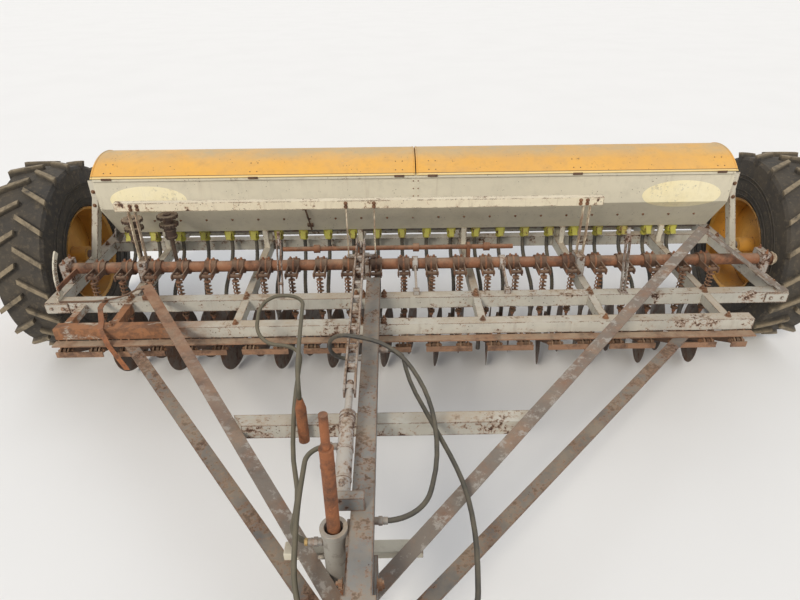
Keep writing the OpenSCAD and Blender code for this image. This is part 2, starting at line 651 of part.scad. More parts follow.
// Openers: drag arm, disc and boot for each row
spring_pin_y = -450;
spring_pin_z = 400;
hub_z = disc_r + 12;
module arm_outline(i) {
    y = rank_y(i);
    slope = atan2(pivot_z - hub_z, y - pivot_y);
    reach = norm([y - pivot_y, pivot_z - hub_z]);
    difference() {
        union() {
            translate([pivot_y, pivot_z]) { circle(r = 25); rotate(-slope) translate([0, -22]) square([reach, 44]); }
            translate([y, hub_z]) { circle(r = 34); translate([0, -25]) square([boot_dy, 50]); }
            translate([spring_pin_y - 19, pivot_z - tan(slope) * (spring_pin_y - pivot_y) - 10])
                square([38, max(10, spring_pin_z - (pivot_z - tan(slope) * (spring_pin_y - pivot_y) - 10))]);
            translate([spring_pin_y, spring_pin_z]) circle(r = 25);
        }
        translate([pivot_y, pivot_z]) circle(r = pivot_r + 0.5);
        translate([spring_pin_y, spring_pin_z]) circle(r = 7.5);
    }
}
module drag_arms() color(rust) placed()
    for (i = row_range)
        translate([row_x(i) + arm_dx - arm_t / 2, 0, 0]) rotate([90, 0, 90]) linear_extrude(arm_t) arm_outline(i);

disc_dx = 46;
disc_t = 5;
module opener_discs() color(dark) placed()
    for (i = row_range)
        translate([row_x(i) + disc_dx, rank_y(i), hub_z]) {
            rotate([0, 0, -disc_turn]) rotate([0, 90, 0]) rotate_extrude($fn = 48)
                polygon([[0, 0], [70, 0], [disc_r, 18], [disc_r, 20], [68, disc_t], [0, disc_t]]);
            translate([-disc_dx + arm_dx + arm_t / 2, 0, 0]) rotate([0, 90, 0]) cylinder(h = disc_dx - arm_dx - arm_t / 2, r = 32);
        }

module seed_boots() color(steel) placed()
    for (i = row_range) translate([row_x(i) + 12, rank_y(i) + boot_dy, 0])
        difference() {
            union() {
                translate([0, 0, 30]) cylinder(h = boot_top - 90, r = 16);
                translate([0, 0, boot_top - 60]) cylinder(h = 60, r1 = 16, r2 = 24);
                box_at([arm_dx + arm_t / 2 - 12, 0], [-25, 0], [hub_z - 20, hub_z + 20]);
            }
            translate([0, 0, boot_top - 50]) cylinder(h = 51, r1 = 12, r2 = 21);
        }

rod_r = 8;
module press_rods() color(steel) placed()
    for (i = row_range) translate([row_x(i), spring_pin_y, 0]) {
        translate([0, 0, spring_pin_z]) cylinder(h = shaft_z + 30 - spring_pin_z, r = rod_r);
        rod_x([-fork_gap + 1.5, fork_gap - 1.5], 0, shaft_z, 14);
        difference() {
            translate([0, 0, spring_pin_z]) rotate([0, 90, 0]) translate([0, 0, -6]) cylinder(h = 12, r = 18);
        }
        rod_x([arm_dx - arm_t / 2 - 8, 0], 0, spring_pin_z, 7);
        translate([0, 0, 548]) cylinder(h = 8, r = spring_r);
    }
module press_springs() color(rust) placed()
    for (i = row_range) translate([row_x(i), spring_pin_y, 556 + fit]) {
        h = shaft_z - 36 - 556;
        step = h / spring_coils;
        rotate_extrude() polygon(concat([[rod_r + fit, 0]],
            [for (k = [0 : spring_coils - 1]) each [[spring_r - 8, k * step], [spring_r, (k + 0.5) * step]]],
            [[spring_r - 8, h], [rod_r + fit, h]]));
    }

// Curved lids, each a bent sheet with its edges turned in on the rim
lip = 12;
lid_t = 3;
lid_edge = 20;
lid_chord = box_d + 2 * lip;
lid_r = (pow(lid_chord / 2, 2) + pow(lid_rise, 2)) / (2 * lid_rise);
lid_z = rim_z + fit;
module lid_arc(r, y0, y1, z0)
    intersection() {
        translate([box_mid_y, lid_z + lid_rise - lid_r]) circle(r = r, $fn = 96);
        translate([y0, z0]) square([y1 - y0, lid_rise + 10]);
    }
module lid(x0, x1) {
    difference() {
        translate([x0, 0, 0]) rotate([90, 0, 90]) linear_extrude(x1 - x0) lid_arc(lid_r, -lip, box_d + lip, lid_z);
        translate([x0 + lid_t, 0, 0]) rotate([90, 0, 90]) linear_extrude(x1 - x0 - 2 * lid_t)
            union() {
                lid_arc(lid_r - lid_t, -lip, box_d + lip, lid_z + lid_t);
                lid_arc(lid_r - lid_t, -lip + lid_edge, box_d + lip - lid_edge, lid_z - 1);
            }
    }
}
module knuckles(side)
    for (h = hinge_x) translate([side * h, 0, 0]) difference() {
        union() {
            rod_x([-knuckle_l / 2, knuckle_l / 2], hinge_y, hinge_z, knuckle_r);
            box_at([-knuckle_l / 2, knuckle_l / 2], [box_d + lip - 6, hinge_y], [lid_z, hinge_z + 4]);
        }
        rod_x([-knuckle_l / 2 - 1, knuckle_l / 2 + 1], hinge_y, hinge_z, knuckle_r / 2 + run_fit);
    }
module lid_left() color(yellow) placed() {
    lid(-box_w / 2 - lip, -lid_gap / 2);
    knuckles(-1);
}
module lid_right() color(yellow) placed() {
    lid(lid_gap / 2, box_w / 2 + lip);
    knuckles(1);
}

// Wheels: lugged tyre, and rim with its hub
shoulder = 20;
module tyre() {
    rotate_extrude($fn = 72) polygon([[rim_r + 2, 26], [rim_r + 30, 6], [wheel_r * 0.78, 0], [wheel_r - lug_h - shoulder, 12],
        [wheel_r - lug_h, 30], [wheel_r - lug_h, tyre_w - 30], [wheel_r - lug_h - shoulder, tyre_w - 12],
        [wheel_r * 0.78, tyre_w], [rim_r + 30, tyre_w - 6], [rim_r + 2, tyre_w - 26]]);
    intersection() {
        translate([0, 0, 1]) cylinder(h = tyre_w - 2, r = wheel_r, $fn = 72);
        for (k = [0 : lugs - 1], s = [0, 1])
        rotate([0, 0, (k + s / 2) * 360 / lugs])
            translate([wheel_r - lug_h - 45, 0, tyre_w / 2]) mirror([0, 0, s])
                rotate([0, 90, 0]) linear_extrude(lug_h + 60)
                    polygon([[0, 0], [0, 34], [-tyre_w / 2 + 8, -84], [-tyre_w / 2 + 8, -120]]);
    }
}
hub_r = 60;
module rim() {
    mid = tyre_w / 2;
    rotate_extrude($fn = 72) {
        polygon([[rim_r + 14, 6], [rim_r + 14, 14], [rim_r + 2 - fit, 24], [rim_r + 2 - fit, tyre_w - 24],
            [rim_r + 14, tyre_w - 14], [rim_r + 14, tyre_w - 6], [rim_r - 8, tyre_w - 22], [rim_r - 8, mid + 30],
            [150, mid - 16], [hub_r, mid - 16], [hub_r, tyre_w - 60], [0, tyre_w - 60], [0, tyre_w - 76],
            [axle_r + run_fit, tyre_w - 76], [axle_r + run_fit, 40], [hub_r, 40], [hub_r, mid - 30],
            [150, mid - 30], [rim_r - 8, mid + 18], [rim_r - 8, 22]]);
    }
}
module at_wheel(side) placed() translate([side * tyre_in, axle_y, axle_z]) rotate([0, side * 90, 0]) children();
module tyre_left() color(rubber) at_wheel(-1) tyre();
module tyre_right() color(rubber) at_wheel(1) mirror([0, 1, 0]) tyre();
module rim_left() color(yellow) at_wheel(-1) rim();
module rim_right() color(yellow) at_wheel(1) rim();

// Hydraulic hoses. Each route is a list of corners, and the hose bends through them in wide arcs.
hose_r = 11;
pocket_x = -606;
pocket_y = tie_y0 - 30;
route_left = [[-606, -1860, 945], [-606, -1860, 1070], [-670, -1330, 985], [-700, -925, 965], [-960, -925, 960],
    [-960, -1195, 800], [-690, -1210, 795], [-662, -1760, 800], [-628, -2060, 755], [-575, -2250, 750],
    [-575, -2510, 790], [-475, -2510, 790]];
route_right = [[-400, -1350, 800], [-510, -1350, 800], [-510, -1440, 1035], [-170, -1530, 1020], [0, -1760, 885],
    [28, -2080, 785], [-65, -2420, 790], [-230, -2420, 790]];
route_jack = [[-448, -2115, 893], [-545, -2115, 893], [-548, -2450, 880], [-545, -2650, 745], [-500, -2770, 690],
    [-385, -2770, 690]];
route_long = [[-230, -1300, 820], [-130, -1300, 820], [-90, -1640, 835], [30, -1920, 790], [130, -2230, 752],
    [150, -2440, 690], [110, -2832, 640], [-215, -2832, 640]];
hose_ring = 5;        // furthest apart two rings of a hose may be, in radii
hose_turn = 28;       // most that a hose turns between two rings
function unit(v) = v / norm(v);
// Arc that rounds the corner b between a and c, as long as the stretches beside it allow
function arc(a, b, c, first, last) = let (
    u = unit(a - b), v = unit(c - b), half = acos(u * v) / 2,
    reach = min(norm(a - b) * (first ? 0.9 : 0.49), norm(c - b) * (last ? 0.9 : 0.49)),
    r = reach * tan(half), turn = 180 - 2 * half, centre = b + unit(u + v) * r / sin(half),
    n = ceil(turn / hose_turn))
    [for (k = [0 : n]) centre + (sin((n - k) / n * turn) * (b + u * reach - centre)
        + sin(k / n * turn) * (b + v * reach - centre)) / sin(turn)];
function bent(p) = let (n = len(p)) concat([p[0]],
    [for (i = [1 : n - 2]) each arc(p[i - 1], p[i], p[i + 1], i == 1, i == n - 2)], [p[n - 1]]);
// The same line with points added on its long straight stretches
function filled(c, step) = concat([c[0]], [for (i = [1 : len(c) - 1]) let (d = c[i] - c[i - 1], m = ceil(norm(d) / step))
    each [for (k = [1 : m]) c[i - 1] + d * k / m]]);
// Directions along a line, square to the fittings at both ends
function along(c) = let (n = len(c)) [for (i = [0 : n - 1]) unit(c[min(i + 1, n - 1)] - c[max(i - 1, 0)])];
// Sideways direction carried from ring to ring, so that the tube doesn't twist
function sideways(t, prev) = unit(prev - (prev * t) * t);
function side_list(t) = [for (i = 0, s = sideways(t[0], [0.3, 0.2, 1]); i < len(t);
    i = i + 1, s = i < len(t) ? sideways(t[i], s) : s) s];
module hose(route, sides = 8, radius = hose_r) {
    c = filled(bent(route), hose_ring * radius);
    n = len(c);
    t = along(c);
    u = side_list(t);
    points = [for (i = [0 : n - 1], k = [0 : sides - 1])
        let (v = cross(t[i], u[i]), a = 360 * k / sides) c[i] + radius * (cos(a) * u[i] + sin(a) * v)];
    faces = concat([[for (k = [0 : sides - 1]) k]], [[for (k = [sides - 1 : -1 : 0]) (n - 1) * sides + k]],
        [for (i = [0 : n - 2], k = [0 : sides - 1]) let (a = i * sides + k, b = i * sides + (k + 1) % sides)
            each [[a, a + sides, b], [b, a + sides, b + sides]]]);
    polyhedron(points = points, faces = faces);
}
module hose_left() color(dark) placed() hose(route_left);
module hose_right() color(dark) placed() hose(route_right);
module hose_jack() color(dark) placed() hose(route_jack);
module hose_long() color(dark) placed() hose(route_long);

// Fittings where the hoses end
fitting_r = 15;
draw_left = drawbar_x - drawbar_w / 2;
draw_right = drawbar_x + drawbar_w / 2;
module hose_ends() color(steel) placed() {
    rod_x([-475, jack_x - 45 - fit], -2510, 790, fitting_r);
    rod_x([-400, draw_left], -1350, 800, fitting_r);
    rod_x([draw_right, -230], -2420, 790, fitting_r);
    rod_x([draw_right, -230], -1300, 820, fitting_r);
    rod_x([-385, drawbar_x - 60], -2770, 690, fitting_r);
    rod_x([drawbar_x + 60, -215], -2832, 640, fitting_r);
    rod_x([-448, ram_x - barrel_r - fit], -2115, 893, fitting_r);
}
module hose_pocket() color(rust) placed() translate([pocket_x, pocket_y, 0]) {
    translate([0, 0, frame_z - 70]) cylinder(h = 200, r = 26);
    translate([0, 0, frame_z + 130]) cylinder(h = 55, r1 = 26, r2 = 14);
    translate([-20, 0, frame_z - 60]) cube([40, 30, 50]);
}

front_beams();
rear_beams();
side_members();
front_angle();
pivot_bars();
drawbar();
cross_tie();
upper_braces();
lower_braces();
hitch_clevis();
shaft_bearings();
shaft_straps();
hand_levers();
lid_hinges();
grab_rail();
box_stands();
end_straps();
seed_box();
feed_cups();
feed_shaft();
seed_tubes();
drive_shaft();
gear_stacks();
depth_quadrant();
stub_axles();
footboard();
jack_sleeve();
ram_barrel();
hose_pocket();
hose_left();
hose_right();
hose_jack();
hose_long();
hose_ends();
rock_shaft();
shaft_forks();
lift_lever();
ram_rod();
press_rods();
press_springs();
drag_arms();
opener_discs();
seed_boots();
lid_left();
lid_right();
jack_leg();
tyre_left();
rim_left();
tyre_right();
rim_right();
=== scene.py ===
import math
import bmesh
import bpy
from mathutils import Matrix, Vector


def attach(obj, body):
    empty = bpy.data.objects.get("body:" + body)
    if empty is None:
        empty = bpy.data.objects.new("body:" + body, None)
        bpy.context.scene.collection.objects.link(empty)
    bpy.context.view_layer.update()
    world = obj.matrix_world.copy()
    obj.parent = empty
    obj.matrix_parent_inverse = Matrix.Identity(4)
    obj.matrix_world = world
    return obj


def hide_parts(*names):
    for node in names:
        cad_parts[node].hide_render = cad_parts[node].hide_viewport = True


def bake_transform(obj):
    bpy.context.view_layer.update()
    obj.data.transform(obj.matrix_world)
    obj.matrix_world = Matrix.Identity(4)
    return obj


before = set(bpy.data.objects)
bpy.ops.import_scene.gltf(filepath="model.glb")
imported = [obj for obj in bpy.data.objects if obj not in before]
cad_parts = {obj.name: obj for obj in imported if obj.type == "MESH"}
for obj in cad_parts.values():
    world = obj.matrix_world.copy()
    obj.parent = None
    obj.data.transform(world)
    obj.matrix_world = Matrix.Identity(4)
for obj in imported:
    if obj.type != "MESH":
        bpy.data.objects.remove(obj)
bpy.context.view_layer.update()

# Sizes and places in millimetres, as in the part's source, where Y = 0 is the front of the seed box
BOX_FRONT = 1025.5
ROWS = 23
PITCH = 190
ROW_X = [-ROWS * PITCH / 2 + i * PITCH for i in range(ROWS)]
RANK_Y = [-290 if i % 2 == 0 else -130 for i in range(ROWS)]
# The lengthwise members, in gaps between rows. The one by the drawbar stands 35 mm off its gap's middle.
MEMBERS = [ROW_X[k] + PITCH / 2 - (35 if k == 9 else 0) for k in (1, 5, 9, 13, 17, 21)]
BOX_HALF, BOX_D, RIM_Z, CREASE_Z, FLOOR_Z = 2240, 530, 1388, 1163, 900
LID_Y, LID_REACH, LID_RISE = 265, 277, 108
CUP_Y = 265
FRAME_Z, END_X, END_FACE = 760, 2410, 2372
DRAW_X = -300
SHAFT_Y, SHAFT_Z = -300, 850
BEARING_FRONT = SHAFT_Y - 60
ROD_Y = -450
ARM_X = -16
DISC_X, DISC_Z, DISC_TURN = 46, 242, math.radians(-12)
AXLE_Y, AXLE_Z = 229, 710
TYRE_IN, TYRE_W = 2500, 380
RAM_FOOT, RAM_TILT = (-382, -2360, 876.4), math.radians(4.7)
JACK_X, JACK_Y = -402.3, -2510
GEARS_Y = -100
HOSE_R = 11
SIDES = (-1, 1)
X, Y, Z = Vector((1, 0, 0)), Vector((0, 1, 0)), Vector((0, 0, 1))

# The camera, with its place in metres. FOCAL and HORIZON are pixels of a picture PICTURE_WIDTH wide.
PICTURE_WIDTH, SENSOR = 800, 36
FOCAL, HORIZON = 590, 342
CAMERA_PLACE = (-0.1657, -2.9585, 2.693)


def at(x, y, z):
    """Place in the shared frame, in metres."""
    return Vector((x, y + BOX_FRONT, z)) / 1000


def put(name, data):
    made = bpy.data.objects.new(name, data)
    bpy.context.scene.collection.objects.link(made)
    return made


def set_camera():
    pitch = math.atan(HORIZON / FOCAL)
    yaw, roll = math.radians(0.684), math.radians(-0.535)
    ahead = Vector((math.sin(yaw) * math.cos(pitch), math.cos(yaw) * math.cos(pitch), -math.sin(pitch)))
    right = Vector((math.cos(yaw), -math.sin(yaw), 0))
    above = right.cross(ahead)
    side = right * math.cos(roll) + above * math.sin(roll)
    top = above * math.cos(roll) - right * math.sin(roll)
    data = bpy.data.cameras.new("camera")
    data.sensor_width = SENSOR
    data.lens = FOCAL * SENSOR / PICTURE_WIDTH
    camera = put("camera", data)
    turn = Matrix((side, top, -ahead)).transposed().to_4x4()
    camera.matrix_world = Matrix.Translation(CAMERA_PLACE) @ turn
    bpy.context.scene.camera = camera


set_camera()


class Nodes:
    """Node tree of a material, a pattern or the world."""

    def __init__(self, tree):
        self.tree = tree

    def feed(self, node, values):
        """Gives each input its value, or a link where the value is another node's output."""
        for key, value in values.items():
            socket = node.inputs[key]
            if isinstance(value, bpy.types.NodeSocket):
                self.tree.links.new(value, socket)
            elif isinstance(value, tuple) and len(socket.default_value) == 4:
                socket.default_value = (*value, 1)
            else:
                socket.default_value = value

    def node(self, kind, values=None, **settings):
        """Adds a node and gives back its outputs."""
        made = self.tree.nodes.new(kind)
        for key, value in settings.items():
            setattr(made, key, value)
        self.feed(made, values or {})
        return made.outputs

    def maths(self, kind, first, second):
        return self.node("ShaderNodeMath", {0: first, 1: second}, operation=kind)[0]

    def plus(self, first, second):
        return self.maths("ADD", first, second)

    def both(self, first, second):
        return self.maths("MULTIPLY", first, second)


class Finish(Nodes):
    """Material made of layers over a base colour, on Object coordinates in metres."""

    def __init__(self, name, colour, roughness, metallic=0.0):
        self.mat = bpy.data.materials.new(name)
        self.mat.use_nodes = True
        super().__init__(self.mat.node_tree)
        self.shader = self.tree.nodes["Principled BSDF"]
        self.feed(self.shader, {"Metallic": metallic})
        self.place = self.node("ShaderNodeTexCoord")["Object"]
        self.normal = self.node("ShaderNodeNewGeometry")["Normal"]
        self.colour = colour
        self.rough = roughness
        self.height = None

    def noise(self, scale, detail, rough, stretch=(1, 1, 1), warp=0.0):
        place = self.node("ShaderNodeMapping", {"Vector": self.place, "Scale": stretch})[0]
        grain = {"Vector": place, "Scale": scale, "Detail": detail, "Roughness": rough, "Distortion": warp}
        return self.node("ShaderNodeTexNoise", grain)["Fac"]

    def cells(self, scale):
        return self.node("ShaderNodeTexVoronoi", {"Vector": self.place, "Scale": scale})["Distance"]

    def mask(self, value, low, high, top=1.0):
        span = {"Value": value, "From Min": low, "From Max": high, "To Max": top}
        return self.node("ShaderNodeMapRange", span)[0]

    def patches(self, scale, detail, rough, low, high, top=1.0, stretch=(1, 1, 1), warp=0.0):
        """Cloudy patches: nothing where the noise is at low, top where it is at high."""
        return self.mask(self.noise(scale, detail, rough, stretch, warp), low, high, top)

    def part_of(self, vector, axis):
        return self.node("ShaderNodeSeparateXYZ", {0: vector})[axis]

    def upward(self, low, top):
        return self.mask(self.part_of(self.normal, "Z"), low, 0.95, top)

    def worn_edge(self, width, top):
        """Strong where the surface turns within the width, which is along edges and corners."""
        bevel = self.node("ShaderNodeBevel", {"Radius": width}, samples=4)[0]
        dot = self.node("ShaderNodeVectorMath", {0: bevel, 1: self.normal}, operation="DOT_PRODUCT")
        return self.mask(dot["Value"], 0.995, 0.86, top)

    def layer(self, mask, colour, roughness=None):
        self.colour = self.node("ShaderNodeMix", {0: mask, 6: self.colour, 7: colour}, data_type="RGBA")[2]
        if roughness is not None:
            self.rough = self.node("ShaderNodeMix", {0: mask, 2: self.rough, 3: roughness})[0]

    def soil(self, low, amount, patches):
        """Dust in patches on what faces up."""
        self.layer(self.both(self.upward(low, amount), patches), DUST, 0.95)

    def relief(self, value, depth):
        scaled = self.both(value, depth)
        self.height = scaled if self.height is None else self.plus(self.height, scaled)

    def done(self):
        self.feed(self.shader, {"Base Color": self.colour, "Roughness": self.rough})
        if self.height is not None:
            bump = self.node("ShaderNodeBump", {"Strength": 1.0, "Distance": 1.0, "Height": self.height})
            self.feed(self.shader, {"Normal": bump[0]})
        return self.mat


RUST_DARK = (0.060, 0.030, 0.019)
RUST_BROWN = (0.170, 0.082, 0.043)
RUST_ORANGE = (0.310, 0.140, 0.060)
DUST = (0.42, 0.33, 0.23)
DARK_PAINT = (0.125, 0.118, 0.108)


def tinted(colour, factor):
    return tuple(c * factor for c in colour)


def worn_paint(name, colour, faded, rust=0.4, dust=0.5, gloss=0.55, edge=0.6, chips=0.5):
    """Paint that fades in clouds, chips to rust along edges and in spots, and holds dust on top."""
    f = Finish(name, colour, gloss)
    f.layer(f.patches(2.2, 5, 0.62, 0.40, 0.66, 0.8), faded, 0.72)
    f.layer(f.patches(14, 7, 0.72, 0.50, 0.75, 0.35), tinted(faded, 0.72), 0.8)
    streaks = f.patches(6.0, 6, 0.7, 0.56, 0.76, 0.22 + 0.2 * rust, (3.4, 3.4, 0.30))
    f.layer(streaks, RUST_BROWN)
    patch = f.noise(5.5, 10, 0.74, warp=0.5)
    spots = f.noise(46, 6, 0.7)
    ragged = f.both(f.worn_edge(0.011, 0.30 * edge), f.patches(7, 5, 0.7, 0.38, 0.58))
    worn = f.plus(f.plus(f.both(patch, 0.62), f.both(spots, 0.38)), ragged)
    start = 0.665 - 0.15 * rust
    bare = f.mask(worn, start, start + 0.03)
    f.layer(f.mask(worn, start - 0.035, start + 0.01, 0.55), RUST_ORANGE, 0.85)
    f.layer(bare, RUST_BROWN, 0.9)
    f.layer(f.both(bare, f.mask(spots, 0.44, 0.58)), RUST_DARK, 0.9)
    few = f.patches(9, 3, 0.6, 0.56, 0.60, chips)
    f.layer(f.both(few, f.mask(f.cells(52), 0.20, 0.14)), RUST_DARK, 0.9)
    f.soil(0.4, dust, f.patches(3.5, 7, 0.72, 0.36, 0.64))
    f.relief(f.noise(260, 3, 0.6), 0.00012)
    f.relief(bare, -0.0004)
    return f


def rusty_steel(name, colour=RUST_BROWN, bright=RUST_ORANGE, dust=0.45, bloom=0.6):
    f = Finish(name, colour, 0.86)
    f.layer(f.patches(4.0, 8, 0.7, 0.46, 0.66, bloom, warp=0.4), bright, 0.9)
    f.layer(f.patches(9.0, 8, 0.72, 0.48, 0.64, 0.85), RUST_DARK, 0.82)
    f.layer(f.patches(60, 4, 0.7, 0.56, 0.72, 0.55), tinted(bright, 1.25))
    f.layer(f.both(f.worn_edge(0.004, 1.0), f.patches(30, 4, 0.6, 0.42, 0.60, 0.5)), bright, 0.8)
    f.soil(0.3, dust, f.patches(5.0, 6, 0.7, 0.38, 0.6))
    f.relief(f.noise(120, 5, 0.7), 0.0006)
    f.relief(f.patches(24, 6, 0.7, 0.45, 0.6), 0.0005)
    return f


def dull_steel(name, colour, dust=0.4, rust=0.85):
    f = Finish(name, colour, 0.55, 0.35)
    f.layer(f.patches(7.0, 7, 0.7, 0.46, 0.66, rust), RUST_BROWN, 0.85)
    f.layer(f.patches(18, 6, 0.7, 0.54, 0.68, rust), RUST_DARK, 0.88)
    f.layer(f.both(f.worn_edge(0.004, 1.0), f.patches(30, 4, 0.6, 0.46, 0.60, 0.6)), RUST_ORANGE)
    f.soil(0.3, dust, f.patches(6, 5, 0.7, 0.4, 0.6))
    f.relief(f.noise(180, 4, 0.65), 0.0003)
    return f


def dusty_tyre(name):
    """Rubber with fine ribs on the sidewall, dusty grooves and pale scuffed lugs."""
    f = Finish(name, (0.028, 0.025, 0.022), 0.82)
    f.layer(f.patches(3.5, 7, 0.7, 0.40, 0.66, 0.75), (0.072, 0.058, 0.041), 0.92)
    # distance from the axle, in metres
    back = f.plus(f.part_of(f.place, "Y"), -(AXLE_Y + BOX_FRONT) / 1000)
    rise = f.plus(f.part_of(f.place, "Z"), -AXLE_Z / 1000)
    out = f.maths("POWER", f.plus(f.both(back, back), f.both(rise, rise)), 0.5)
    tread = f.mask(out, 0.668, 0.704)
    f.layer(f.both(tread, f.patches(12, 6, 0.7, 0.34, 0.60, 0.9)), (0.150, 0.120, 0.080), 0.95)
    tips = f.mask(out, 0.690, 0.706, 0.85)
    f.layer(f.both(tips, f.patches(16, 6, 0.7, 0.34, 0.56)), (0.270, 0.215, 0.140), 0.95)
    f.layer(f.patches(26, 7, 0.75, 0.52, 0.70, 0.65), (0.155, 0.120, 0.078), 0.96)
    f.layer(f.patches(90, 4, 0.7, 0.60, 0.75, 0.5), (0.012, 0.011, 0.010))
    # 900 radians a metre gives a rib every 7 mm
    ribs = f.maths("SINE", f.both(out, 900.0), 0.0)
    f.relief(f.both(ribs, f.mask(out, 0.47, 0.43)), 0.0004)
    f.relief(f.noise(150, 4, 0.6), 0.0005)
    f.relief(f.patches(18, 5, 0.65, 0.5, 0.6), 0.0006)
    return f


def hose_rubber(name, colour, dust):
    f = Finish(name, colour, 0.50)
    f.layer(f.patches(9, 6, 0.7, 0.44, 0.66, dust), (0.16, 0.13, 0.085), 0.85)
    f.layer(f.upward(0.2, 0.45 * dust), (0.20, 0.17, 0.11), 0.9)
    f.relief(f.noise(420, 2, 0.5), 0.00015)
    return f


def lid_paint():
    """Ochre lids: grey where the ridge has weathered, a pale folded lip, grey scuffs, and a thin dark line of
    painted shade just above the lip.
    """
    f = worn_paint("lid_paint", (0.72, 0.380, 0.065), (0.66, 0.355, 0.085), rust=0.10, dust=0.25, gloss=0.45,
                   edge=0.3, chips=0.8)
    height = f.part_of(f.place, "Z")
    ridge = f.mask(height, 1.462, 1.496, 0.75)
    f.layer(f.both(ridge, f.patches(3, 6, 0.7, 0.30, 0.62)), (0.42, 0.37, 0.25), 0.8)
    scuffs = f.patches(2.6, 9, 0.8, 0.66, 0.70, 0.7, (0.6, 1.4, 1.0), 0.8)
    f.layer(scuffs, (0.34, 0.28, 0.26), 0.85)
    lip = f.mask(height, 1.4005, 1.3990)
    f.layer(lip, (0.74, 0.55, 0.24), 0.7)
    # painted shade: a thin dark band just above the folded lip, where the fold's shade falls
    shade = f.both(f.mask(height, 1.4035, 1.4015), f.mask(height, 1.3985, 1.4000))
    f.layer(shade, (0.10, 0.055, 0.03), 0.8)
    return f


def beam_paint():
    """Frame paint, gone to rust on the left stretch of the front beam and the ties behind it."""
    f = worn_paint("beam_paint", (0.50, 0.475, 0.405), (0.37, 0.355, 0.31), rust=0.66, dust=0.75, edge=1.0,
                   chips=1.0)
    left = f.mask(f.part_of(f.place, "X"), -1.25, -1.60)
    front = f.mask(f.part_of(f.place, "Y"), 0.400, 0.380)
    flaking = f.patches(4.5, 9, 0.74, 0.40, 0.47, 1.0, (0.7, 1.5, 1.5), 0.4)
    gone = f.both(f.both(left, front), flaking)
    f.layer(gone, RUST_BROWN, 0.9)
    f.layer(f.both(gone, f.patches(13, 7, 0.7, 0.46, 0.58)), (0.30, 0.135, 0.06), 0.9)
    return f


def rail_paint():
    """Pale rail, with posts under it that have gone much rustier."""
    f = worn_paint("rail_paint", (0.70, 0.625, 0.465), (0.62, 0.545, 0.40), rust=0.58, dust=0.2, chips=1.0)
    post = f.mask(f.part_of(f.place, "Z"), 1.262, 1.250)
    rusty = f.patches(15, 7, 0.7, 0.40, 0.60, 0.85, (1.0, 1.0, 0.4))
    f.layer(f.both(post, rusty), (0.215, 0.120, 0.070), 0.9)
    return f


def brace_steel():
    """Braces: brown rust at the left one's upper end, weathered grey-brown everywhere else."""
    f = rusty_steel("brace_steel", (0.21, 0.100, 0.055), (0.30, 0.150, 0.075), 0.35)
    grey = f.mask(f.part_of(f.place, "X"), -1.50, -0.80)
    cloud = f.patches(6, 8, 0.7, 0.26, 0.56, 0.85, warp=0.3)
    f.layer(f.both(grey, cloud), (0.175, 0.155, 0.130), 0.85)
    f.layer(f.both(grey, f.patches(17, 8, 0.74, 0.53, 0.60, 0.8)), (0.34, 0.31, 0.27), 0.7)
    return f


def oval_paint():
    f = worn_paint("oval_paint", (0.88, 0.80, 0.55), (0.86, 0.74, 0.42), rust=0.02, dust=0.1, gloss=0.4,
                   edge=0.0)
    flaked = f.both(f.patches(30, 8, 0.75, 0.55, 0.60), f.patches(3.2, 4, 0.6, 0.45, 0.55, 0.85))
    f.layer(flaked, (0.52, 0.47, 0.34), 0.8)
    return f


cream = worn_paint("cream_paint", (0.62, 0.575, 0.46), (0.52, 0.485, 0.40), rust=0.55, dust=0.4).done()
rail_cream = rail_paint().done()
box_cream = worn_paint("box_paint", (0.66, 0.605, 0.465), (0.585, 0.54, 0.42), rust=0.08, dust=0.15,
                       edge=0.35, chips=0.7).done()
beam_cream = beam_paint().done()
slate_paint = worn_paint("slate_paint", (0.19, 0.19, 0.18), DARK_PAINT, rust=0.92, edge=1.0, chips=1.0).done()
lower_slate = worn_paint("lower_slate", DARK_PAINT, (0.095, 0.080, 0.068), rust=0.95, dust=0.45, edge=1.0,
                         chips=1.0).done()
link_paint = worn_paint("link_paint", (0.40, 0.38, 0.345), (0.30, 0.27, 0.24), rust=0.88, dust=0.4,
                        edge=1.0).done()
ochre = lid_paint().done()
rim_yellow = worn_paint("rim_paint", (0.60, 0.30, 0.045), (0.44, 0.235, 0.06), rust=0.46, dust=0.4).done()
cup_green = worn_paint("cup_paint", (0.46, 0.44, 0.05), (0.30, 0.28, 0.07), rust=0.5).done()
rust = rusty_steel("rusty_steel").done()
rust_dark = rusty_steel("dark_rust", (0.105, 0.060, 0.038), (0.20, 0.105, 0.058), 0.35, 0.5).done()
rust_red = rusty_steel("red_rust", (0.205, 0.085, 0.042), (0.33, 0.150, 0.075), 0.4).done()
rust_post = rusty_steel("post_rust", (0.245, 0.088, 0.034), (0.34, 0.135, 0.052), 0.15).done()
ledge_rust = rusty_steel("ledge_rust", (0.235, 0.130, 0.076), (0.33, 0.185, 0.105), 0.6).done()
braces = brace_steel().done()
steel = dull_steel("dull_steel", (0.24, 0.225, 0.205)).done()
sleeve_grey = dull_steel("sleeve_grey", (0.33, 0.31, 0.27), 0.6, 0.35).done()
disc_steel = dull_steel("disc_steel", (0.15, 0.12, 0.10), 0.2).done()
brass = dull_steel("brass", (0.36, 0.24, 0.085), 0.3, 0.5).done()
gear_steel = rusty_steel("gear_steel", (0.070, 0.048, 0.036), (0.26, 0.155, 0.085), 0.7, 0.45).done()
rubber = dusty_tyre("tyre_rubber").done()
hose_black = hose_rubber("hose_black", (0.020, 0.019, 0.018), 0.5).done()
hose_olive = hose_rubber("hose_olive", (0.060, 0.053, 0.032), 0.7).done()
tube_dark = hose_rubber("tube_rubber", (0.030, 0.028, 0.026), 0.7).done()
pale_oval = oval_paint().done()


# Meshes
def belong(made, body):
    if body:
        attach(made, body)
    return made


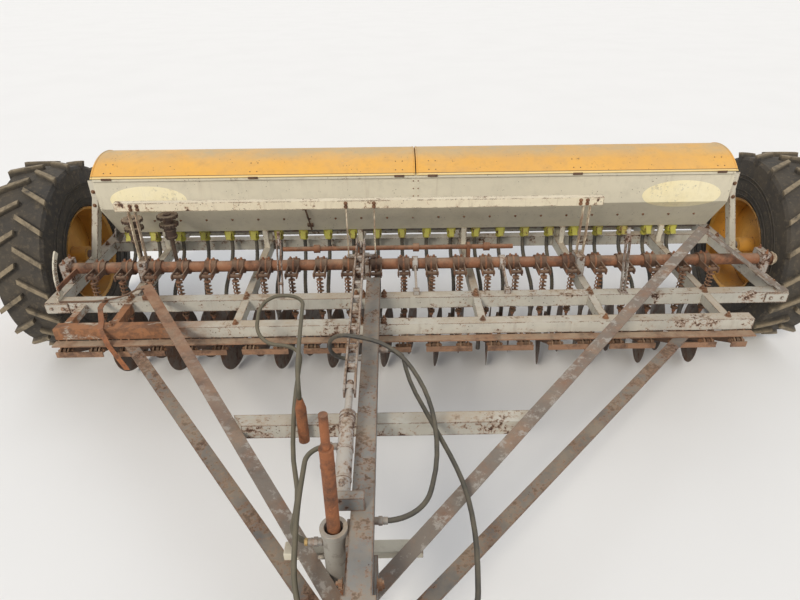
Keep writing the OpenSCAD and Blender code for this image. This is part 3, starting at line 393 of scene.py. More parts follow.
def mesh_object(name, points, faces, finish, smooth):
    """points are in metres, and smooth has one value for each face."""
    mesh = bpy.data.meshes.new(name)
    mesh.from_pydata([tuple(p) for p in points], [], faces)
    shape = bmesh.new()
    shape.from_mesh(mesh)
    bmesh.ops.recalc_face_normals(shape, faces=shape.faces)
    shape.to_mesh(mesh)
    shape.free()
    mesh.polygons.foreach_set("use_smooth", smooth)
    mesh.materials.append(finish)
    return put(name, mesh)


def circle(count, radius=1.0):
    turns = [2 * math.pi * k / count for k in range(count)]
    return [(radius * math.cos(a), radius * math.sin(a)) for a in turns]


def tube_mesh(path, radius, sides=12):
    """Points and faces of a closed tube. radius is a number or a function of the length along the path."""
    count = len(path)
    section = circle(sides)
    # any way that no path starts along
    side = Vector((0.3, 0.2, 1))
    points, length = [], 0.0
    for i, p in enumerate(path):
        way = (path[min(i + 1, count - 1)] - path[max(i - 1, 0)]).normalized()
        if i:
            length += (p - path[i - 1]).length
        side = (side - way * side.dot(way)).normalized()
        other = way.cross(side)
        r = radius(length) if callable(radius) else radius
        points += [p + (side * c + other * s) * r for c, s in section]
    last = (count - 1) * sides
    faces = [tuple(range(sides))[::-1], tuple(range(last, last + sides))]
    for ring in range(0, last, sides):
        for k in range(sides):
            a, b = ring + k, ring + (k + 1) % sides
            faces.append((a, b, b + sides, a + sides))
    return points, faces


def bent(corners, turn_step=7, step=14):
    """Rounds each corner by the widest arc that its stretches allow, and fills the straights."""
    p = [Vector(c) for c in corners]
    out = [p[0]]
    last = len(p) - 1
    for i in range(1, last):
        a, b, c = p[i - 1:i + 2]
        u, v = (a - b).normalized(), (c - b).normalized()
        half = u.angle(v) / 2
        reach = min((a - b).length * (0.9 if i == 1 else 0.49),
                    (c - b).length * (0.9 if i == last - 1 else 0.49))
        turn = math.pi - 2 * half
        centre = b + (u + v).normalized() * (reach * math.tan(half)) / math.sin(half)
        start, end = b + u * reach - centre, b + v * reach - centre
        n = max(1, math.ceil(math.degrees(turn) / turn_step))
        for k in range(n + 1):
            near, far = math.sin((n - k) / n * turn), math.sin(k / n * turn)
            out.append(centre + (near * start + far * end) / math.sin(turn))
    out.append(p[last])
    full = [out[0]]
    for q in out[1:]:
        start = full[-1]
        n = max(1, math.ceil((q - start).length / step))
        full += [start + (q - start) * k / n for k in range(1, n + 1)]
    return full


# Hoses, with the same corners and bends as the part's source
HOSES = {
    "hose_left": (hose_olive, [
        (-606, -1860, 945), (-606, -1860, 1070), (-670, -1330, 985), (-700, -925, 965), (-960, -925, 960),
        (-960, -1195, 800), (-690, -1210, 795), (-662, -1760, 800), (-628, -2060, 755), (-575, -2250, 750),
        (-575, -2510, 790), (-475, -2510, 790)]),
    "hose_right": (hose_black, [
        (-400, -1350, 800), (-510, -1350, 800), (-510, -1440, 1035), (-170, -1530, 1020), (0, -1760, 885),
        (28, -2080, 785), (-65, -2420, 790), (-230, -2420, 790)]),
    "hose_jack": (hose_olive, [
        (-448, -2115, 893), (-545, -2115, 893), (-548, -2450, 880), (-545, -2650, 745), (-500, -2770, 690),
        (-385, -2770, 690)]),
    "hose_long": (hose_black, [
        (-230, -1300, 820), (-130, -1300, 820), (-90, -1640, 835), (30, -1920, 790), (130, -2230, 752),
        (150, -2440, 690), (110, -2832, 640), (-215, -2832, 640)]),
}


def make_hoses():
    for name, (finish, corners) in HOSES.items():
        path = [at(*p) for p in bent(corners)]
        points, faces = tube_mesh(path, HOSE_R / 1000, 14)
        made = mesh_object(name + "_skin", points, faces, finish, [True] * len(faces))
        belong(made, "frame")
        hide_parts(name)


make_hoses()


class Pieces:
    """Several small closed forms in one mesh, in millimetres."""

    def __init__(self):
        self.points, self.faces, self.smooth = [], [], []

    def add(self, points, faces, smooth=False):
        first = len(self.points)
        self.points += [Vector(p) for p in points]
        self.faces += [tuple(first + i for i in face) for face in faces]
        self.smooth += [smooth] * len(faces)

    def hull(self, points):
        shape = bmesh.new()
        for p in points:
            shape.verts.new(p)
        made = bmesh.ops.convex_hull(shape, input=shape.verts[:])
        loose = [v for v in made["geom_interior"] + made["geom_unused"] if isinstance(v, bmesh.types.BMVert)]
        bmesh.ops.delete(shape, geom=list(set(loose)), context="VERTS")
        bmesh.ops.dissolve_limit(shape, angle_limit=0.01, verts=shape.verts[:], edges=shape.edges[:])
        shape.verts.index_update()
        self.add([v.co.copy() for v in shape.verts], [[v.index for v in f.verts] for f in shape.faces])
        shape.free()

    def slab(self, x, y, z, bevel):
        """Box between the limits, with its corners and edges cut by the bevel."""
        points = []
        for i in range(8):
            corner = (x[i & 1], y[i >> 1 & 1], z[i >> 2 & 1])
            inward = [(-1 if i >> k & 1 else 1) * bevel for k in range(3)]
            for k in range(3):
                points.append([corner[j] + (inward[j] if j != k else 0) for j in range(3)])
        self.hull(points)

    def lathe(self, profile, centre, axis, sides=24, smooth=True, closed=False):
        """Turned form. Its (radius, height) points run from pole to pole, or round a closed loop."""
        axis = Vector(axis).normalized()
        side = axis.orthogonal().normalized()
        other = axis.cross(side)
        centre = Vector(centre)
        points, rings, faces = [], [], []
        for r, h in profile:
            spots = circle(sides) if r else [(0, 0)]
            rings.append(range(len(points), len(points) + len(spots)))
            points += [centre + axis * h + (side * c + other * s) * r for c, s in spots]
        for low, high in zip(rings, rings[1:] + (rings[:1] if closed else [])):
            for k in range(sides):
                n = (k + 1) % sides
                corners = (low[k % len(low)], low[n % len(low)], high[n % len(high)], high[k % len(high)])
                face = tuple(dict.fromkeys(corners))
                if len(face) > 2:
                    faces.append(face)
        self.add(points, faces, smooth)

    def ring(self, outer, inner, thick, centre, axis, sides=24):
        """Flat washer or band with bevelled edges."""
        e = min(1.2, thick / 4, (outer - inner) / 4)
        loop = [(inner, e), (inner, thick - e), (inner + e, thick), (outer - e, thick), (outer, thick - e),
                (outer, e), (outer - e, 0), (inner + e, 0)]
        self.lathe(loop, centre, axis, sides, False, True)

    def tube(self, path, radius, sides=10):
        points, faces = tube_mesh([Vector(p) for p in path], radius, sides)
        self.add(points, faces, True)

    def bead(self, p, q):
        """Weld bead from p to q, rippled along its length."""
        p, q = Vector(p), Vector(q)
        n = max(3, round((q - p).length / 3))
        path = [p + (q - p) * k / n for k in range(n + 1)]
        self.tube(path, lambda s: 5 * (0.86 + 0.18 * math.sin(s * 1.1) + 0.1 * math.sin(s * 0.23)), 6)

    def make(self, name, finish, slot="rusty_steel", body="frame"):
        made = mesh_object(name, [at(*p) for p in self.points], self.faces, finish, self.smooth)
        return belong(made, body)


class Pattern(Nodes):
    """One small form, set on points by Geometry Nodes. The tree's sizes are in metres."""

    def __init__(self, name, sizes):
        super().__init__(bpy.data.node_groups.new(name, "GeometryNodeTree"))
        face = self.tree.interface
        face.new_socket("Places", in_out="INPUT", socket_type="NodeSocketGeometry")
        for key, value in sizes.items():
            face.new_socket(key, in_out="INPUT", socket_type="NodeSocketFloat").default_value = value
        face.new_socket("Finish", in_out="INPUT", socket_type="NodeSocketMaterial")
        face.new_socket("Pieces", in_out="OUTPUT", socket_type="NodeSocketGeometry")
        self.size = self.node("NodeGroupInput")
        self.shapes = []

    def shape(self, kind, sizes, move, vector):
        """Adds a form and moves or scales it by the vector's parts."""
        made = self.node(kind, sizes)[0]
        by = self.node("ShaderNodeCombineXYZ", vector)[0]
        self.shapes.append(self.node("GeometryNodeTransform", {"Geometry": made, move: by})[0])

    def drum(self, sides, radius, height, base):
        sizes = {"Vertices": sides, "Radius": radius, "Depth": height}
        middle = self.plus(base, self.both(height, 0.5))
        self.shape("GeometryNodeMeshCylinder", sizes, "Translation", {"Z": middle})

    def finish(self):
        join = self.tree.nodes.new("GeometryNodeJoinGeometry")
        for shape in self.shapes:
            self.tree.links.new(shape, join.inputs[0])
        turn = self.node("GeometryNodeInputNamedAttribute", {"Name": "turn"}, data_type="FLOAT_VECTOR")
        spin = self.node("FunctionNodeEulerToRotation", {0: turn[0]})
        placed = self.node("GeometryNodeInstanceOnPoints",
                           {"Points": self.size["Places"], "Instance": join.outputs[0], "Rotation": spin[0]})
        real = self.node("GeometryNodeRealizeInstances", {"Geometry": placed[0]})
        painted = self.node("GeometryNodeSetMaterial", {"Geometry": real[0], "Material": self.size["Finish"]})
        self.node("NodeGroupOutput", {0: painted[0]})
        return self

    def set_on(self, name, places, finish, slot="rusty_steel", body="frame", smooth=False, **sizes):
        """places are (point, direction, spin). Points and sizes are in millimetres."""
        mesh = bpy.data.meshes.new(name)
        mesh.from_pydata([tuple(at(*p)) for p, way, spin in places], [], [])
        turns = mesh.attributes.new("turn", "FLOAT_VECTOR", "POINT")
        flat = []
        for p, way, spin in places:
            facing = Vector(way).to_track_quat("Z", "Y").to_matrix() @ Matrix.Rotation(spin, 3, "Z")
            flat += list(facing.to_euler())
        turns.data.foreach_set("vector", flat)
        carrier = put(name + "_places", mesh)
        modifier = carrier.modifiers.new("pattern", "NODES")
        modifier.node_group = self.tree
        for item in self.tree.interface.items_tree:
            if item.name.lower() in sizes:
                modifier[item.identifier] = sizes[item.name.lower()] / 1000
            if item.name == "Finish":
                modifier[item.identifier] = finish
        bpy.context.view_layer.update()
        graph = bpy.context.evaluated_depsgraph_get()
        result = bpy.data.meshes.new_from_object(carrier.evaluated_get(graph))
        made = put(name, result)
        bpy.data.objects.remove(carrier)
        result.materials.clear()
        result.materials.append(finish)
        for face in result.polygons:
            face.use_smooth = smooth
            face.material_index = 0
        return belong(made, body)


def bolt_pattern():
    p = Pattern("bolt_heads", {"Across": 0.019, "Head": 0.011, "Washer": 0.014, "Stud": 0.004})
    washer = 0.0025
    corners = p.both(p.size["Across"], 0.577)
    top = p.plus(p.size["Head"], washer)
    crown = {"Vertices": 6, "Radius Bottom": corners, "Radius Top": p.both(corners, 0.86), "Depth": 0.0012}
    p.drum(16, p.size["Washer"], washer, 0.0)
    p.drum(6, corners, p.size["Head"], washer)
    p.shape("GeometryNodeMeshCone", crown, "Translation", {"Z": top})
    p.drum(10, p.both(p.size["Across"], 0.30), p.size["Stud"], p.plus(top, 0.001))
    return p.finish()


def rivet_pattern():
    p = Pattern("rivet_heads", {"Radius": 0.007})
    ball = {"Segments": 12, "Rings": 8, "Radius": p.size["Radius"]}
    p.shape("GeometryNodeMeshUVSphere", ball, "Scale", {"X": 1.0, "Y": 1.0, "Z": 0.55})
    return p.finish()


def coil_pattern():
    p = Pattern("coil_springs", {"Coil": 0.020, "Wire": 0.0042, "Length": 0.2577, "Turns": 9})
    line = p.node("GeometryNodeCurveSpiral", {
        "Resolution": 18, "Rotations": p.size["Turns"], "Start Radius": p.size["Coil"],
        "End Radius": p.size["Coil"], "Height": p.size["Length"]})
    section = p.node("GeometryNodeCurvePrimitiveCircle", {"Resolution": 8, "Radius": p.size["Wire"]})
    wire = {"Curve": line[0], "Profile Curve": section[0], "Fill Caps": True}
    p.shapes.append(p.node("GeometryNodeCurveToMesh", wire)[0])
    return p.finish()


def tread_pattern():
    p = Pattern("tread_marks", {"Reach": 0.013, "Breadth": 0.004, "Rise": 0.0016})
    scale = {"X": p.size["Reach"], "Y": p.size["Breadth"], "Z": p.size["Rise"]}
    p.shape("GeometryNodeMeshUVSphere", {"Segments": 6, "Rings": 4, "Radius": 1.0}, "Scale", scale)
    return p.finish()


bolts = bolt_pattern()
rivets = rivet_pattern()
coils = coil_pattern()
treads = tread_pattern()


def spread(points, way, step=0.7):
    """Places facing one way, each turned a little further than the last."""
    return [(p, way, i * step) for i, p in enumerate(points)]


# Springs and seed tubes, in place of the plain solids
def make_springs():
    feet = [(x, ROD_Y, 556.3) for x in ROW_X]
    made = coils.set_on("press_coils", spread(feet, Z, 0.4), rust, body="rods", smooth=True)
    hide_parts("press_springs")


def make_seed_tubes():
    made = Pieces()
    for x, y in zip(ROW_X, RANK_Y):
        corners = [(x, CUP_Y, 799.7), (x, CUP_Y, 690), (x + 12, y + 120, 550), (x + 12, y + 120, 426)]
        made.tube(bent(corners, 6, 4), lambda s: 14.2 + 1.6 * math.sin(s * 2 * math.pi / 12))
    ribbed = made.make("ribbed_seed_tubes", tube_dark, "hose_rubber", None)
    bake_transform(ribbed)
    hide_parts("seed_tubes")


def make_ovals():
    """Bare pale ovals, bent over the crease of the box's front."""
    slope = (FLOOR_Z - CREASE_Z) / 200
    for name, x, z, half_w, half_h in (("oval_left", -1885, 1229, 268, 100),
                                       ("oval_right", 1896, 1217, 280, 106)):
        made = Pieces()
        upper, lower = [], []
        for c, s in circle(120):
            px, pz = x + half_w * c, z + half_h * s
            (upper if pz >= CREASE_Z else lower).append((px, max(0.0, (pz - CREASE_Z) / slope), pz))
        cut = half_w * math.sqrt(1 - ((CREASE_Z - z) / half_h) ** 2)
        seam = [(x - cut, 0, CREASE_Z), (x + cut, 0, CREASE_Z)]
        made.hull([(px, py - d, pz) for px, py, pz in upper + seam for d in (0.8, -1.0)])
        made.hull([(px, py - d * 0.8, pz - d * 0.6) for px, py, pz in lower + seam for d in (0.8, -1.0)])
        made.make(name, pale_oval, "cream_paint")


def make_box_folds():
    """Rim turned outwards, strips over the joint of the two halves, and the end walls' folded edges."""
    made = Pieces()
    end = BOX_HALF - 2
    for y0, y1 in ((-9, 0), (BOX_D, BOX_D + 3)):
        made.slab((-end, end), (y0, y1), (RIM_Z - 21, RIM_Z - 18), 0.8)
    made.hull([(px, py, pz) for px in (-end, end)
               for py, pz in ((-9, RIM_Z - 21), (-9, RIM_Z - 4), (-7, RIM_Z - 4), (-7, RIM_Z - 21))])
    wall = [(3, RIM_Z - 26), (3, CREASE_Z), (203, FLOOR_Z + 4), (327, FLOOR_Z + 4), (BOX_D - 3, CREASE_Z),
            (BOX_D - 3, RIM_Z - 26)]
    for side in SIDES:
        made.hull([(side * (6 + dx), y + dy, z) for dx in (0, 22)
                   for y, z in ((0, RIM_Z - 24), (0, CREASE_Z)) for dy in (-2.5, 0)])
        made.hull([(side * (6 + dx), y + dy, z + dz) for dx in (0, 22)
                   for y, z in ((0, CREASE_Z - 2), (196, FLOOR_Z + 5)) for dy, dz in ((-2.0, -1.6), (0, 0))])
        x = side * BOX_HALF
        for p, q in zip(wall, wall[1:]):
            made.tube([(x, *p), (x, *q)], 3.5, 8)
    made.make("box_folds", box_cream, "cream_paint")


def make_box_bolts():
    front = [(x + 78, 98, 1034) for x in ROW_X]
    back = [(x, BOX_D - y, z) for x, y, z in front]
    for name, points, out in (("box_front_bolts", front, (0, -263, -200)),
                              ("box_back_bolts", back, (0, 263, -200))):
        bolts.set_on(name, spread(points, out), rust, across=11, head=5, washer=9, stud=2)
    spots = ((30, 1350), (150, 1350), (270, 1350), (390, 1350), (500, 1350), (30, 1200), (500, 1200),
             (90, 1060), (440, 1060), (180, 950), (350, 950))
    ends = [((side * (BOX_HALF + 0.5), y, z), (side, 0, 0), y) for side in SIDES for y, z in spots]
    rivets.set_on("box_end_rivets", ends, box_cream, "cream_paint")
    seam = [(side * 17, -3, z) for side in SIDES for z in (1345, 1290, 1235, 1180)]
    rivets.set_on("box_seam_rivets", spread(seam, -Y), rust, radius=5)
    straps = [((side * (BOX_HALF + 8.5), 50, z), (side, 0, 0), z) for side in SIDES for z in (1355, 1275)]
    bolts.set_on("strap_bolts", straps, rust, across=19, head=9, washer=16)


# Lids: rolled ends, a stiff front edge, three clips and the stiffeners' rivets on each
def lid_point(y, proud):
    """Point on the lid's curve at y, and the way out of it there."""
    r = (LID_REACH ** 2 + LID_RISE ** 2) / (2 * LID_RISE)
    a = math.asin((y - LID_Y) / r)
    middle = RIM_Z + 0.3 + LID_RISE - r
    way = (0, math.sin(a), math.cos(a))
    return (LID_Y + (r + proud) * math.sin(a), middle + (r + proud) * math.cos(a)), way


def make_lid_trim():
    for body, x0, x1 in (("lid_left", -2252, -4), ("lid_right", 4, 2252)):
        edges = Pieces()
        for x in (x0 + 9, x1 - 9):
            edges.tube([(x, *lid_point(y, 0.5)[0]) for y in range(-8, 541, 12)], 3.2, 8)
        edges.tube([(x0 + 2, -11, 1391), (x1 - 2, -11, 1391)], 2.6, 8)
        edges.make(body + "_edges", ochre, "yellow_paint", body)
        clips = Pieces()
        heads = []
        for x in (x0 + 112, (x0 + x1) / 2, x1 - 112):
            clips.slab((x - 34, x + 34), (-16.5, -13.2), (1377, 1394), 0.9)
            clips.slab((x - 22, x + 22), (-19.5, -16.0), (1381, 1385), 0.9)
            for dx, y in ((-24, 24), (-24, 92), (24, 24), (24, 92), (0, 440)):
                spot, way = lid_point(y, 0.3)
                heads.append(((x + dx, *spot), way, 0))
        clips.make(body + "_clips", rust_dark, body=body)
        rivets.set_on(body + "_rivets", heads, rust_dark, body=body, radius=4.5)


# Frame: nuts on the beams, thin plates under the drawbar's, and weld beads
def make_frame_trim():
    spots = [(x, y) for x in MEMBERS for y in (-907, -600, -560, 350, 390, 640, 680)]
    spots += [(x, y) for x in (-END_X, END_X) for y in (-500, 290, 450, 590)]
    spots += [(x, y) for x in (DRAW_X - 70, DRAW_X + 70) for y in (-925, -890, -600, -560)]
    tops = [(x, y, FRAME_Z) for x, y in spots]
    bolts.set_on("frame_nuts", spread(tops, Z), rust, across=24, head=14, washer=20, stud=12)
    made = Pieces()
    for x in (DRAW_X - 70, DRAW_X + 70):
        for y in (-907, -580):
            made.slab((x - 22, x + 22), (y - 40, y + 40), (FRAME_Z, FRAME_Z + 0.8), 0.3)
    seams = [(x + dx, y, top, foot) for x in MEMBERS for dx in (-25, 25)
             for y, top, foot in ((-538, 758, 684), (328, 758, 684), (-868, 752, 690))]
    seams += [(x, y, 758, 684) for x in (-END_FACE, END_FACE) for y in (-538, 328, 618)]
    seams += [(x, -2861, z, z + 60) for z in (510, 620, 730) for x in (DRAW_X - 59, DRAW_X + 59)]
    for x, y, top, foot in seams:
        made.bead((x, y, top), (x, y, foot))
    for y in (-622, -538, -947, -868):
        made.bead((DRAW_X - 44, y, FRAME_Z + 1), (DRAW_X + 44, y, FRAME_Z + 1))
    made.make("weld_beads", beam_cream, "cream_paint")


# Rock shaft: nuts of its bearings, and the forks' set bolts, collars and end hub
def make_shaft_trim():
    caps = [(x, y, 910) for x in (-END_X, END_X) for y in (SHAFT_Y - 44, SHAFT_Y + 44)]
    bolts.set_on("bearing_nuts", spread(caps, Z), rust_red, across=17, head=10, washer=11, stud=14)
    clamps = []
    for i, x in enumerate(ROW_X):
        for dx, turn in ((20, 0.7), (-20, 0.9)):
            clamps.append(((x + dx, SHAFT_Y, SHAFT_Z + 49), Z, i * turn))
    bolts.set_on("fork_set_bolts", clamps, rust_red, body="rock_shaft", across=15, head=12, washer=9, stud=3)
    made = Pieces()
    for x in ROW_X:
        made.ring(54, 48, 12, (x - 6, SHAFT_Y, SHAFT_Z), X, 28)
        for s in SIDES:
            made.ring(15, 3, 4, (x + s * 40, SHAFT_Y - 152, SHAFT_Z), (s, 0, 0), 14)
    made.make("shaft_collars", rust_red, body="rock_shaft")
    hub = Pieces()
    dome = [(0, 0), (30, 0), (38, 6), (38, 20), (28, 28), (14, 31), (0, 31)]
    hub.lathe(dome, (2484, SHAFT_Y, SHAFT_Z), X)
    hub.ring(49, 46.2, 13, (2471, SHAFT_Y, SHAFT_Z), X, 32)
    hub.make("shaft_end_hub", rail_cream, body="rock_shaft")
    feet = [(x, BEARING_FRONT, z) for x in (-417, -347) for z in (800, 885)]
    feet += [(x, BEARING_FRONT, z) for x in (-1885, 1125) for z in (790, 895)]
    bolts.set_on("bearing_bolts", spread(feet, -Y), rust_dark, across=17, head=9, washer=13, stud=3)


# Pressure rods: nuts, washers and split pins
def make_rod_trim():
    made = Pieces()
    for x in ROW_X:
        made.ring(23, 8.5, 4, (x, ROD_Y, 814.5), Z, 20)
        pin = [(x - 16, ROD_Y, 874), (x - 9, ROD_Y, 874), (x + 9, ROD_Y, 874), (x + 15, ROD_Y - 3, 870)]
        made.tube(pin, 1.8, 6)
        made.tube([(x + 12, ROD_Y, 876), (x + 17, ROD_Y + 4, 882)], 1.5, 6)
        made.ring(13, 6, 3, (x - 31.5, ROD_Y, 400), -X, 14)
    made.make("rod_washers", rust_red, body="rods")
    nuts = spread([(x, ROD_Y, 540) for x in ROW_X], -Z)
    bolts.set_on("rod_nuts", nuts, rust_red, body="rods", across=24, head=12, washer=15, stud=1)


# Openers: pivot nuts, hubs and bolts on the discs, boot bolts, and a scraper blade behind each disc
def make_opener_trim():
    pins = [((x + ARM_X + s * 34, -940, 600), (s, 0, 0), x) for x in ROW_X for s in SIDES]
    bolts.set_on("pivot_nuts", pins, rust, across=20, head=9, washer=15, stud=4)
    heads, hubs, scrapers = [], Pieces(), Pieces()
    cap = [(0, 0), (40, 0), (42, 3), (40, 9), (30, 13), (27, 22), (20, 28), (0, 30)]
    blade = ((8, 96, 14), (8, 118, 14), (11, 96, 20), (11, 118, 20), (30, 128, 96), (30, 148, 92),
             (33, 128, 98), (33, 148, 94))
    turn = Matrix.Rotation(DISC_TURN, 3, "Z")
    out = turn @ X
    for x, y in zip(ROW_X, RANK_Y):
        arm = x + ARM_X
        centre = Vector((x + DISC_X, y, DISC_Z))
        hubs.lathe(cap, centre + out * 5, out, 20)
        for k, (c, s) in enumerate(circle(6, 56)):
            heads.append((centre + turn @ Vector((6, c, s)), out, k * math.pi / 3))
        for dy, dz in ((40, -10), (75, 10)):
            heads.append(((arm - 8, y + dy, DISC_Z + dz), -X, dy))
        scrapers.hull([(arm + px, y + py, DISC_Z + pz) for px, py, pz in blade])
    hubs.make("disc_hubs", rust_red, body="openers")
    scrapers.make("disc_scrapers", steel, "grey_steel", "openers")
    bolts.set_on("opener_bolts", heads, rust_red, body="openers", across=13, head=7, washer=10, stud=2)


# Wheels: sidewall bands, hub caps with the rims' bands and the valve, and wheel nuts
def make_wheel_trim():
    for side, name in ((-1, "left"), (1, "right")):
        body = "wheel_" + name
        axis = Vector((side, 0, 0))
        centre = Vector((side * TYRE_IN, AXLE_Y, AXLE_Z))
        tyre = Pieces()
        for r, h in ((398, 4.2), (436, 1.2), (520, -1.0), (548, -1.4)):
            for height in (h, TYRE_W - h):
                path = [centre + axis * height + Vector((0, c, s)) for c, s in circle(72, r)]
                points, faces = tube_mesh(path + path[:1], 4.5, 6)
                tyre.add(points, [f for f in faces if len(f) == 4], True)
        tyre.make("sidewall_bands_" + name, rubber, "tyre_rubber", body)
        cap = Pieces()
        dome = [(0, 0), (50, 0), (52, 4), (48, 16), (34, 26), (14, 31), (0, 32)]
        cap.lathe(dome, centre + axis * 320, axis, 32)
        for r, h in ((140, 173), (250, 189)):
            cap.ring(r + 4, r - 4, 4, centre + axis * h, axis, 64)
        cap.tube([centre + axis * 190 + Z * 300, centre + axis * 226 + Z * 292], 6)
        cap.make("hub_cap_" + name, rim_yellow, "yellow_paint", body)
        nuts = [(centre + axis * 174 + Vector((0, c, s)), axis, 2 * math.pi * k / 8)
                for k, (c, s) in enumerate(circle(8, 104))]
        bolts.set_on("wheel_nuts_" + name, nuts, rust_red, body=body, across=30, head=18, washer=22, stud=14)


# Drawbar end: bands and nuts of the ram, trim of the jack, and the hitch head's bolts
def along_ram(length, rise=0.0):
    x, y, z = RAM_FOOT
    return Vector((x, y + length * math.cos(RAM_TILT) - rise * math.sin(RAM_TILT),
                   z + length * math.sin(RAM_TILT) + rise * math.cos(RAM_TILT)))


def make_drawbar_trim():
    way = along_ram(1) - along_ram(0)
    ram = Pieces()
    ram.ring(37.5, 18.5, 10, along_ram(421), way, 28)
    for length in (60, 210, 380):
        ram.ring(36.5, 33, 14, along_ram(length), way, 28)
    for length in (392, 20):
        nut = [(0, 0), (13, 0), (13, 10), (10, 12), (10, 22), (0, 22)]
        ram.lathe(nut, along_ram(length, 33), Z, 6, False)
    ram.make("ram_bands", link_paint, "grey_steel")
    sleeve = Pieces()
    sleeve.ring(53, 36, 12, (JACK_X, JACK_Y, 860), Z, 32)
    sleeve.tube([(JACK_X - 70, JACK_Y, 700), (JACK_X - 46, JACK_Y, 700)], 8)
    sleeve.make("jack_rings", sleeve_grey, "grey_steel")
    leg = Pieces()
    leg.ring(26.5, 24.5, 10, (JACK_X, JACK_Y, 1180), Z, 28)
    leg.ring(26.8, 15, 7, (JACK_X, JACK_Y, 1259), Z, 28)
    base = Vector((JACK_X, JACK_Y, 0))
    for k in range(4):
        a = math.radians(45 + 90 * k)
        out = Vector((math.cos(a), math.sin(a), 0))
        side = Vector((-math.sin(a), math.cos(a), 0)) * 3
        leg.hull([base + out * r + Z * z + s * side for s in SIDES
                  for r, z in ((24, 12), (78, 12), (24, 74), (32, 74), (78, 20))])
    leg.make("jack_gussets", rust_post, body="jack_leg")
    spots = ((-2800, 560), (-2740, 560), (-2800, 650), (-2740, 650), (-2690, 800), (-2640, 700))
    heads = [((DRAW_X + s * 60, y, z), (s, 0, 0), z) for s in SIDES for y, z in spots]
    bolts.set_on("hitch_bolts", heads, rust, across=24, head=13, washer=20, stud=8)


# Where the hoses end in a fitting: each point, and the way that its hose leaves it
HOSE_ENDS = (((-475, -2510, 790), -X), ((-400, -1350, 800), -X), ((-230, -2420, 790), X),
             ((-230, -1300, 820), X), ((-385, -2770, 690), -X), ((-215, -2832, 640), X),
             ((-448, -2115, 893), -X))


def make_fittings():
    made = Pieces()
    for point, way in HOSE_ENDS:
        made.lathe([(0, -9), (18.5, -9), (18.5, 6), (15, 7.5), (0, 7.5)], point, way, 6, False)
        made.ring(14.5, 10.9, 22, Vector(point) + way * 6, way, 20)
        made.ring(15.5, 10.9, 5, Vector(point) + way * 12, way, 20)
    made.make("hose_ferrules", steel, "grey_steel")
    tips = Pieces()
    for point, way in HOSE_ENDS[:1] + HOSE_ENDS[-1:]:
        tips.lathe([(0, 29), (13.5, 29), (14.5, 31), (14.5, 40), (12, 42), (0, 42)], point, way, 6, False)
    tips.make("brass_nuts", brass, "grey_steel")


# Feed cups: outlet rings, front plates with sloping hoods, and bolts
def make_cup_trim():
    made = Pieces()
    for x in ROW_X:
        made.ring(27, 23, 14, (x, CUP_Y, 806), Z, 18)
        made.slab((x - 25, x + 25), (206, 212), (846, 886), 1.5)
        made.hull([(px, y, z) for px in (x - 20, x + 20)
                   for y, z in ((212, 893), (206, 889), (170, 838), (176, 834))])
    made.make("cup_fronts", cup_green, "cup_paint")
    heads = spread([(x + dx, 205.5, 866) for x in ROW_X for dx in (-18, 18)], -Y)
    bolts.set_on("cup_bolts", heads, rust, across=9, head=5, washer=7, stud=2)


def make_rail_trim():
    heads = [(x, SHAFT_Y - 25.2, z) for x in (-1877, -1833, -472, -288, 1073, 1117) for z in (1285, 1308)]
    bolts.set_on("rail_bolts", spread(heads, -Y), rust, across=15, head=8, washer=13, stud=5)


def make_left_strap():
    """Thin bent strap from the middle beam down past the front ledge."""
    made = Pieces()
    path = [Vector(p) for p in ((-2055, -650, 768), (-2052, -700, 764), (-1975, -868, 764),
                                (-1945, -958, 764), (-1893, -1014, 684), (-1816, -1026, 513))]
    for ends in zip(path, path[1:]):
        made.hull([end + Vector((dx, 0, dz)) for end in ends for dx in (-17, 17) for dz in (-2.5, 2.5)])
    made.slab((-2072, -2038), (-690, -585), (760.6, 765.6), 1)
    made.make("left_strap", rust_post)
    nuts = spread([(-2055, y, 765.6) for y in (-600, -636)], Z)
    bolts.set_on("strap_nuts", nuts, rust_dark, across=19, head=10, washer=14, stud=4)


def make_left_rod():
    """Thin bent rod from the quadrant's foot along the middle beam and up onto the left brace."""
    corners = [(-2350, -618, 766.3), (-2170, -618, 766.3), (-2060, -618, 772), (-1950, -604, 788),
               (-1880, -600, 818), (-1822, -607, 852.5), (-1786, -622, 855)]
    made = Pieces()
    made.tube(bent(corners, 8, 12), 6, 12)
    made.make("left_rod", rust_dark)


def make_rate_lever():
    """Flat lever in front of the box's sloping panel, on a small bracket, with two pegs near its top."""
    x = -788

    def panel(along, proud):
        return Vector((x, 0.605 * along - 0.796 * proud, CREASE_Z - 0.796 * along - 0.605 * proud))

    made = Pieces()
    made.hull([panel(along, proud) + X * (dx + 0.03 * along)
               for along in (-24, 300) for proud in (14, 19) for dx in (-6, 6)])
    made.hull([panel(along, proud) + X * dx
               for along in (228, 262) for proud in (0, 14) for dx in (-17, 27)])
    for along in (-14, 12):
        peg = panel(along, 16.5)
        made.tube([peg - X * 24, peg + X * 10], 4)
    made.make("rate_lever", rust_dark)


def make_quadrant_rims():
    """Worn rims of the quadrant's holes."""
    made = Pieces()
    for step in range(8):
        a = math.radians(6 * step - 5)
        made.ring(11, 7.2, 1.4, (-2358, SHAFT_Y - 262 * math.cos(a), SHAFT_Z + 262 * math.sin(a)), X, 18)
    made.make("quadrant_rims", rust_dark)


